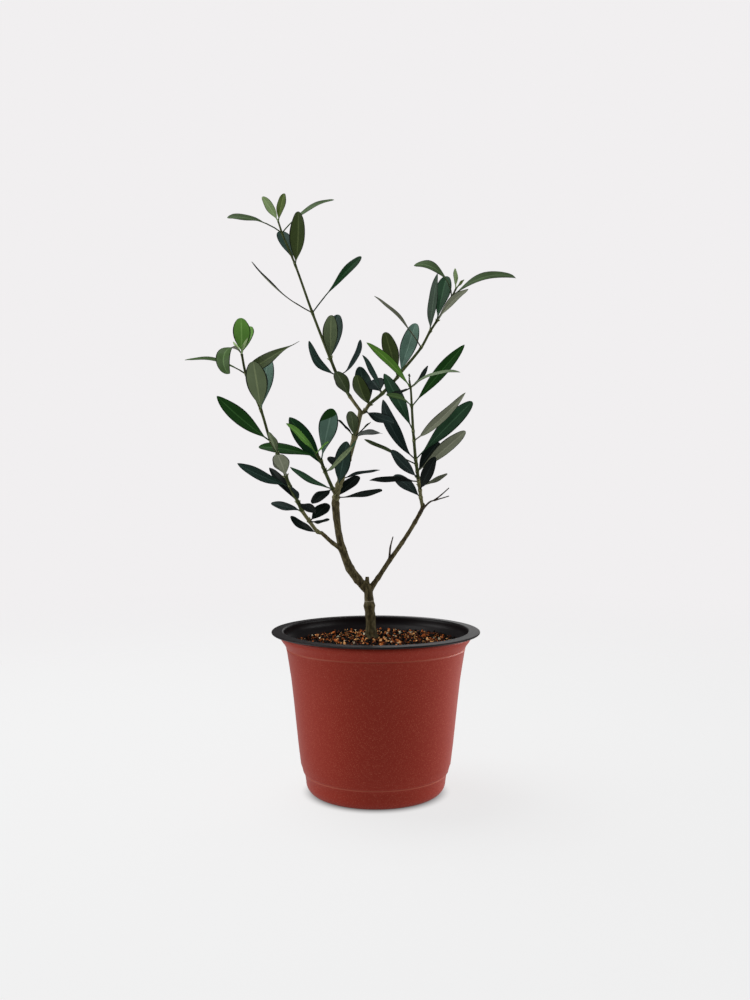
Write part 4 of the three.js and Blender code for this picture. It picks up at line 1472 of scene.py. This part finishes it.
@dataclass
class Pot:
    """The pot: a brick-red outer wall and a black lining whose flange rolls over the wall's edge."""

    sides: int = 192
    rim_radius: float = 75.0
    rim_top: float = 115.4
    flange_width: float = 8.0
    flange_thickness: float = 1.6
    wall: float = 0.9
    gap: float = 0.3
    floor_radius: float = 42.5
    foot_round_width: float = 7.9
    foot_round_height: float = 8.4
    foot_round_points: int = 12
    drain_count: int = 8
    drain_radius: float = 4.0
    drain_circle: float = 33.0
    drain_rows: int = 5
    slice_side_points: int = 15
    weld_mm: float = 0.02
    # The pale lines at the foot's crease and the neck are painted highlights.
    red: MouldedPlastic = MouldedPlastic(
        "brick_red_polypropylene", "82271a", "ab5d49", fleck_mm=0.66, fleck_share=0.75, roughness=0.46,
        shine=0.1, painted_highlight_heights=(13.05, 103.1),
    )
    black: MouldedPlastic = MouldedPlastic(
        "black_polypropylene", "151012", "3b383c", fleck_mm=0.9, fleck_share=0.12, roughness=0.42, shine=0.16
    )

    def side(self, inwards: float) -> np.ndarray:
        """Return the outline from the floor's edge up: a quarter ellipse, the crease, the side and the neck.

        Args:
            inwards: How far the surface lies inside the outer one.

        Returns:
            Points of radius and height.
        """
        angle = np.linspace(0, np.pi / 2, self.foot_round_points)
        rounding = np.stack([
            self.floor_radius + (self.foot_round_width - inwards) * np.sin(angle),
            inwards - FOOT_DROP + (self.foot_round_height - inwards) * (1 - np.cos(angle)),
        ], axis=1)
        upper = np.array([
            (50.9, 10.0), (51.25, 12.4), (51.55, 12.9), (51.55, 13.2), (51.4, 13.5), (52.5, 14.2),
            (52.75, 15.2), (53.3, 17.5), (54.2, 20.0), (55.9, 34.0), (57.7, 51.5), (59.2, 66.0),
            (60.9, 81.0), (62.6, 92.0), (64.0, 100.8), (64.4, 102.4), (64.45, 102.8), (64.1, 103.1),
            (64.4, 103.5), (64.9, 104.4), (65.5, 105.7), (67.6, 108.5), (68.4, 109.8), (68.7, 111.0),
            (68.7, 113.2),
        ])
        return np.concatenate([rounding, upper - np.array([inwards, 0.0])])

    def drained_floor(self, radius: float, height: float, faces_up: bool) -> Shape:
        """Cover a disc round its drain holes.

        The disc is cut in as many slices as there are holes, with one in each. Lines run from the hole's
        edge to the slice's border, which is an arc of the disc and two straight sides, and the grid follows
        those lines.

        Args:
            radius: The disc's radius.
            height: The disc's height.
            faces_up: Whether its faces look up.

        Returns:
            The slices.
        """
        per_slice = self.sides // self.drain_count
        half = np.pi / self.drain_count
        arc = np.linspace(-half, half, per_slice + 1)
        inward = np.linspace(1, 0, self.slice_side_points)[1:]
        outer = np.stack([np.cos(arc), np.sin(arc)], axis=1)
        left = inward[:, None] * np.array([math.cos(half), math.sin(half)])
        right = inward[::-1][1:, None] * np.array([math.cos(half), -math.sin(half)])
        border = np.concatenate([outer, left, right]) * radius
        centre = np.array([self.drain_circle, 0.0])
        out = border - centre
        out_length = np.linalg.norm(out, axis=1, keepdims=True)
        share = np.linspace(0, 1, self.drain_rows)[:, None, None]
        lines = centre + out / out_length * (self.drain_radius + share * (out_length - self.drain_radius))
        shapes = []
        for number in range(self.drain_count):
            turn = 2 * half * number
            spin = np.array([[math.cos(turn), math.sin(turn)], [-math.sin(turn), math.cos(turn)]])
            flat = lines @ spin
            rings = np.concatenate([flat, np.full(flat.shape[:2] + (1,), height)], axis=-1)
            shapes.append(tube(rings[::-1] if faces_up else rings, capped=False))
        return Shape.joined(shapes)

    def drain_walls(self, radius: float, bottom: float, top: float) -> Shape:
        """Line the drain holes between two floors, on the same lines as the floors.

        Args:
            radius: The lower floor's radius.
            bottom: The lower floor's height.
            top: The upper floor's height.

        Returns:
            The holes' walls.
        """
        floor = self.drained_floor(radius, bottom, False)
        low_edges = floor.points.reshape(self.drain_count, self.drain_rows, -1, 3)[:, 0]
        high_edges = low_edges + np.array([0.0, 0.0, top - bottom])
        return Shape.joined([
            tube(np.stack([high, low]), capped=False) for low, high in zip(low_edges, high_edges)
        ])

    def shell(self, node: str, outer: np.ndarray, inner: np.ndarray,
              plastic: MouldedPlastic) -> None:
        """Make a layer of the pot from its outer and inner outlines and a drained floor.

        Args:
            node: The solid that it stands for.
            outer: Outline from the floor's edge up to the rim and over it.
            inner: Outline from the floor's edge inside up to where the outer one ends.
            plastic: Its finish.
        """
        skin = tube(lathed(np.concatenate([outer, inner[::-1]]), self.sides), capped=False)
        floor_low = self.drained_floor(outer[0, 0], outer[0, 1], False)
        floor_high = self.drained_floor(inner[0, 0], inner[0, 1], True)
        walls = self.drain_walls(outer[0, 0], outer[0, 1], inner[0, 1])
        shape = Shape.joined([skin, floor_low, floor_high, walls])
        piece = shape.piece(f"{node}_moulding", [plastic.material()])
        weld(piece, self.weld_mm)
        dress(piece, node)

    def build(self) -> None:
        """Build the wall and the lining."""
        self.shell("pot_wall", self.side(0.0), self.side(self.wall), self.red)
        under = self.rim_top - self.flange_thickness
        rim = self.rim_radius
        inner_edge = rim - self.flange_width
        flange = np.array([
            (rim - 0.9, under), (rim - 0.35, under + 0.1), (rim - 0.08, under + 0.35), (rim, under + 0.6),
            (rim - 0.05, under + 0.95), (rim - 0.35, under + 1.2), (rim - 0.9, under + 1.32),
            (rim - 2.0, under + 1.38), (rim - 4.0, under + 1.45), (inner_edge + 1.4, under + 1.52),
            (inner_edge + 0.9, under + 1.6), (inner_edge + 0.5, under + 1.6), (inner_edge, under + 1.45),
            (inner_edge - 0.35, under + 1.0), (inner_edge - 0.55, under + 0.3),
        ])
        lining_outer = self.side(self.wall + self.gap)
        neck = np.array([(lining_outer[-1, 0], under)])
        lining_inner = self.side(2 * self.wall + self.gap)
        lining_outer = np.concatenate([lining_outer, neck, flange])
        self.shell("pot_lining", lining_outer, lining_inner, self.black)


@dataclass
class PottingMix:
    """The potting mix: a rough bed with loose bark chips on it.

    Its height is top out to level_radius, edge at the wall and shoulder half-way between. The bed's own top
    lies lower by chip_cover. A chip's length, width, height and raggedness are counted from its middle, as
    shares of its size. colours are the chips' finishes and how often each comes.
    """

    edge: float = 105.2
    shoulder: float = 106.5
    top: float = 107.3
    level_radius: float = 30.0
    rise_right: float = 0.8
    radius: float = 63.0
    bottom: float = 0.9
    bottom_radius: float = 42.0
    sides: int = 160
    seed: int = 17
    hub_radius: float = 0.6
    top_rings: int = 70
    chip_cover: float = 0.6
    wave_lengths: tuple[float, ...] = (2.2, 3.1, 4.3, 7.0)
    wave_steepness: float = 0.045
    chip_count: int = 3300
    chip_sizes: tuple[float, float] = (0.9, 2.4)
    chip_shrink: tuple[float, float] = (0.7, 1.0)
    chip_lengths: tuple[float, float] = (0.7, 1.4)
    chip_widths: tuple[float, float] = (0.22, 0.42)
    chip_heights: tuple[float, float] = (0.16, 0.34)
    chip_raggedness: float = 0.16
    chip_pitch: float = 0.7
    chip_roll: float = 0.5
    chip_wall_gap: float = 1.6
    chip_sinking: float = 0.35
    chip_lift: tuple[float, float] = (-0.3, 0.5)
    colours: tuple[tuple[str, str, float], ...] = (
        # Near-black peat: partly the peat's own dark colour, partly painted shade in the gaps between the
        # chips. The bed takes it too.
        ("damp_peat", "050302", 0.5),
        ("bark_chip_brown", "4c220d", 0.21),
        ("bark_chip_rust", "c0662c", 0.18),
        ("bark_chip_tan", "f0b070", 0.1),
        ("grit_pale", "f0e2c0", 0.025),
    )

    def height(self, radius: np.ndarray) -> np.ndarray:
        """Return the mix's height at a radius: level round the trunk and a little lower at the wall."""
        middle = (self.radius + self.level_radius) / 2
        return np.interp(radius, [0, self.level_radius, middle, self.radius],
                         [self.top, self.top, self.shoulder, self.edge])

    def bed(self) -> Shape:
        """Build the bed: a turned block whose top is roughened by a sum of short waves.

        For each wave length, two sines of the same size run square to each other.

        Returns:
            The bed.
        """
        draw = np.random.default_rng(self.seed)
        side = np.array([
            (self.bottom_radius, self.bottom), (47.5, 6.0), (49.0, 14.0), (51.6, 20.0), (55.0, 51.5),
            (58.3, 81.0), (61.9, 103.0),
        ])
        inward = np.linspace(self.radius, self.hub_radius, self.top_rings)
        top = np.stack([inward, self.height(inward) - self.chip_cover], axis=1)
        rings = lathed(np.concatenate([side, top]), self.sides)
        x, y = rings[len(side):, :, 0], rings[len(side):, :, 1]
        rough = np.zeros_like(x)
        for length in self.wave_lengths:
            angle, phase = draw.uniform(0, ALMOST_A_TURN, 2)
            wave = 2 * np.pi / length
            crests = np.sin(wave * (x * math.cos(angle) + y * math.sin(angle)) + phase)
            crests += np.sin(wave * (x * math.sin(angle) - y * math.cos(angle)) + phase)
            rough += crests * length * self.wave_steepness
        rings[len(side):, :, 2] += rough + self.rise_right * x / self.radius
        return tube(rings)

    @staticmethod
    def turned(angles: np.ndarray, fixed: int) -> np.ndarray:
        """Return the matrices that turn points about one axis.

        Args:
            angles: One angle for each matrix.
            fixed: The axis's number.

        Returns:
            Matrices as angles by three by three.
        """
        first, second = (fixed + 1) % 3, (fixed + 2) % 3
        matrices = np.zeros((len(angles), 3, 3))
        matrices[:, fixed, fixed] = 1
        matrices[:, first, first] = matrices[:, second, second] = np.cos(angles)
        matrices[:, second, first] = np.sin(angles)
        matrices[:, first, second] = -np.sin(angles)
        return matrices

    def chips(self) -> Shape:
        """Build the loose chips: slivers with uneven corners, thrown over the bed.

        A chip has eight corners of a box, each moved at random, turned by three random angles.

        Returns:
            All chips as one shape.
        """
        draw = np.random.default_rng(self.seed + 1)
        count = self.chip_count
        signs = np.array([(a, b, c) for a in (-1, 1) for b in (-1, 1) for c in (-1, 1)], dtype=float)
        box = np.array([(0, 1, 3, 2), (4, 6, 7, 5), (0, 4, 5, 1), (2, 3, 7, 6), (0, 2, 6, 4), (1, 5, 7, 3)])
        size = draw.uniform(*self.chip_sizes, (count, 1, 1)) * draw.uniform(*self.chip_shrink, (count, 1, 1))
        spans = (self.chip_lengths, self.chip_widths, self.chip_heights)
        stretch = np.stack([draw.uniform(*span, count) for span in spans], axis=-1)[:, None]
        ragged = draw.normal(0, self.chip_raggedness, (count, len(signs), 3))
        corners = (signs[None] * stretch + ragged) * size
        yaw = draw.uniform(0, ALMOST_A_TURN, count)
        pitch = draw.normal(0, self.chip_pitch, count)
        roll = draw.normal(0, self.chip_roll, count)
        turns = self.turned(yaw, 2) @ self.turned(pitch, 1) @ self.turned(roll, 0)
        reach = (self.radius - self.chip_wall_gap) * np.sqrt(draw.uniform(0, 1, count))
        bearing = draw.uniform(0, ALMOST_A_TURN, count)
        x, y = reach * np.cos(bearing), reach * np.sin(bearing)
        z = self.height(reach) + self.rise_right * x / self.radius - self.chip_sinking
        z += draw.uniform(*self.chip_lift, count)
        centres = np.stack([x, y, z], axis=-1)[:, None]
        points = (corners @ turns.transpose(0, 2, 1) + centres).reshape(-1, 3)
        quads = (box[None] + len(signs) * np.arange(count)[:, None, None]).reshape(-1, 4)
        weights = np.array([weight for _, _, weight in self.colours])
        finish = draw.choice(len(self.colours), count, p=weights / weights.sum())
        return Shape(points, quads, np.repeat(finish, len(box)))

    def build(self) -> None:
        """Build the bed and the chips."""
        materials = [BarkChip(name, colour).material() for name, colour, _ in self.colours]
        bed = self.bed().piece("potting_mix_bed", materials)
        chips = self.chips().piece("potting_mix_chips", materials, smooth=False)
        for piece in (bed, chips):
            dress(piece, "soil")


class Lit(Enum):
    """What a light falls on: a piece, and whether the light reaches only that one or all but that one."""

    OBJECT = ("pale_floor", "EXCLUDE")
    FLOOR = ("pale_floor", "INCLUDE")
    WALL = ("pot_wall_moulding", "INCLUDE")
    LINING = ("pot_lining_moulding", "INCLUDE")


@dataclass(frozen=True)
class Lamp:
    """A square soft light: where it hangs and how wide it is in mm, its watts and what it falls on."""

    name: str
    place: tuple[float, float, float]
    size: float
    power: float
    lit: Lit = Lit.OBJECT


@dataclass
class Studio:
    """The pale floor, the soft lights and the camera."""

    floor_radius: float = 2600.0
    floor_hub: float = 0.5
    floor_sides: int = 96
    floor_colour: str = "6a6a6b"
    floor_glow: float = 0.785
    # Painted contact shadow: the floor's glow is nothing out to the first radius from the pot's axis and
    # full from the second, in mm.
    painted_shadow_core: float = 39.0
    painted_shadow_edge: float = 55.0
    fade_from: float = 250.0
    fade_full: float = 1300.0
    white: str = "ffffff"
    background: str = "f1eff0"
    even_light: float = 0.15
    aim_height: float = 220.0
    camera_place: tuple[float, float, float] = (-0.575, -767.7, 235.06)
    camera_pitch: float = 1.948
    focal_mm: float = 38.46
    sensor_mm: float = 36.0
    view_reach: float = 50000.0
    lamps: tuple[Lamp, ...] = (
        Lamp("left", (-1050.0, -150.0, 260.0), 700.0, 8.2),
        Lamp("right", (1050.0, -150.0, 240.0), 700.0, 7.2),
        Lamp("top", (-420.0, -60.0, 1150.0), 700.0, 9.0),
        Lamp("edge", (900.0, 620.0, 300.0), 600.0, 12.0, Lit.WALL),
        Lamp("behind", (250.0, 1000.0, 330.0), 600.0, 1.1, Lit.LINING),
        Lamp("floor", (-420.0, 250.0, 1300.0), 900.0, 12.0, Lit.FLOOR),
    )

    def floor(self) -> None:
        """Build the floor: a disc that glows evenly but for a painted contact shadow round and under the
        pot's foot, where the glow fades to nothing, and that fades out far away.
        """
        profile = np.array([(self.floor_radius, -FOOT_DROP), (self.floor_hub, -FOOT_DROP)])
        finish = Finish("pale_floor", {
            "Base Color": linear(self.floor_colour), "Roughness": 0.9, "Specular IOR Level": 0.1,
            "Emission Color": linear(self.white),
        })
        far = add_node(finish.tree, "ShaderNodeVectorMath", {"operation": "LENGTH"}, links={0: finish.place})
        away = far.outputs["Value"]
        # Painted shadow: the glow rises smoothly from nothing near the pot's axis to full just beyond its
        # foot.
        glow_with_painted_shadow = finish.mapped(away, (self.painted_shadow_core * MM, self.painted_shadow_edge * MM), (0.0, self.floor_glow), True)
        fade = finish.mapped(away, (self.fade_from * MM, self.fade_full * MM), (1.0, 0.0), True)
        finish.connect(glow_with_painted_shadow, "Emission Strength")
        finish.connect(fade, "Alpha")
        shape = tube(lathed(profile, self.floor_sides), capped=False)
        piece = shape.piece("pale_floor", [finish.material])

    def light(self, lamp: Lamp) -> None:
        """Hang a light that looks at the middle of the tree, and say what it falls on.

        Args:
            lamp: The light.
        """
        data = bpy.data.lights.new(lamp.name, "AREA")
        data.size = lamp.size * MM
        data.energy = lamp.power
        hung = bpy.data.objects.new(lamp.name, data)
        hung.location = [value * MM for value in lamp.place]
        aim = np.array([0.0, 0.0, self.aim_height]) - np.array(lamp.place)
        yaw = math.atan2(aim[1], aim[0]) - math.pi / 2
        pitch = math.atan2(math.hypot(aim[0], aim[1]), -aim[2])
        hung.rotation_euler = (pitch, 0.0, yaw)
        hung.visible_camera = False
        bpy.context.scene.collection.objects.link(hung)
        piece, state = lamp.lit.value
        group = bpy.data.collections.new(f"near_{lamp.name}")
        group.objects.link(bpy.data.objects[piece])
        group.collection_objects[0].light_linking.link_state = state
        hung.light_linking.receiver_collection = group

    def surroundings(self) -> None:
        """Give the camera a plain pale background, and the object a dimmer even light."""
        world = bpy.data.worlds.new("studio")
        bpy.context.scene.world = world
        world.use_nodes = True
        tree = world.node_tree
        tree.nodes.clear()
        seen = add_node(tree, "ShaderNodeBackground", values={"Color": linear(self.background)})
        lit = add_node(
            tree, "ShaderNodeBackground",
            values={"Color": linear(self.white), "Strength": self.even_light},
        )
        path = add_node(tree, "ShaderNodeLightPath")
        mix = add_node(tree, "ShaderNodeMixShader", links={
            0: path.outputs["Is Camera Ray"], 1: lit.outputs[0], 2: seen.outputs[0],
        })
        add_node(tree, "ShaderNodeOutputWorld", links={"Surface": mix.outputs[0]})

    def camera(self) -> None:
        """Set the camera at the photograph's viewpoint, with the frame's longer side across the sensor."""
        data = bpy.data.cameras.new("front")
        data.lens = self.focal_mm
        data.sensor_width = self.sensor_mm
        data.clip_end = self.view_reach * MM
        view = bpy.data.objects.new("front", data)
        across, behind, height = self.camera_place
        view.location = (across * MM, behind * MM, (height + FOOT_DROP) * MM)
        view.rotation_euler = (math.radians(90 - self.camera_pitch), 0.0, 0.0)
        bpy.context.scene.collection.objects.link(view)
        bpy.context.scene.camera = view

    def build(self) -> None:
        """Build the studio."""
        self.floor()
        for lamp in self.lamps:
            self.light(lamp)
        self.surroundings()
        self.camera()
        bpy.context.scene.view_settings.view_transform = "Standard"


def main() -> None:
    """Build the pot, the potting mix, the tree and the studio, and note the sizes."""
    logging.basicConfig(level=logging.INFO)
    Pot().build()
    PottingMix().build()
    Tree().build()
    Studio().build()


if __name__ == "__main__":
    main()
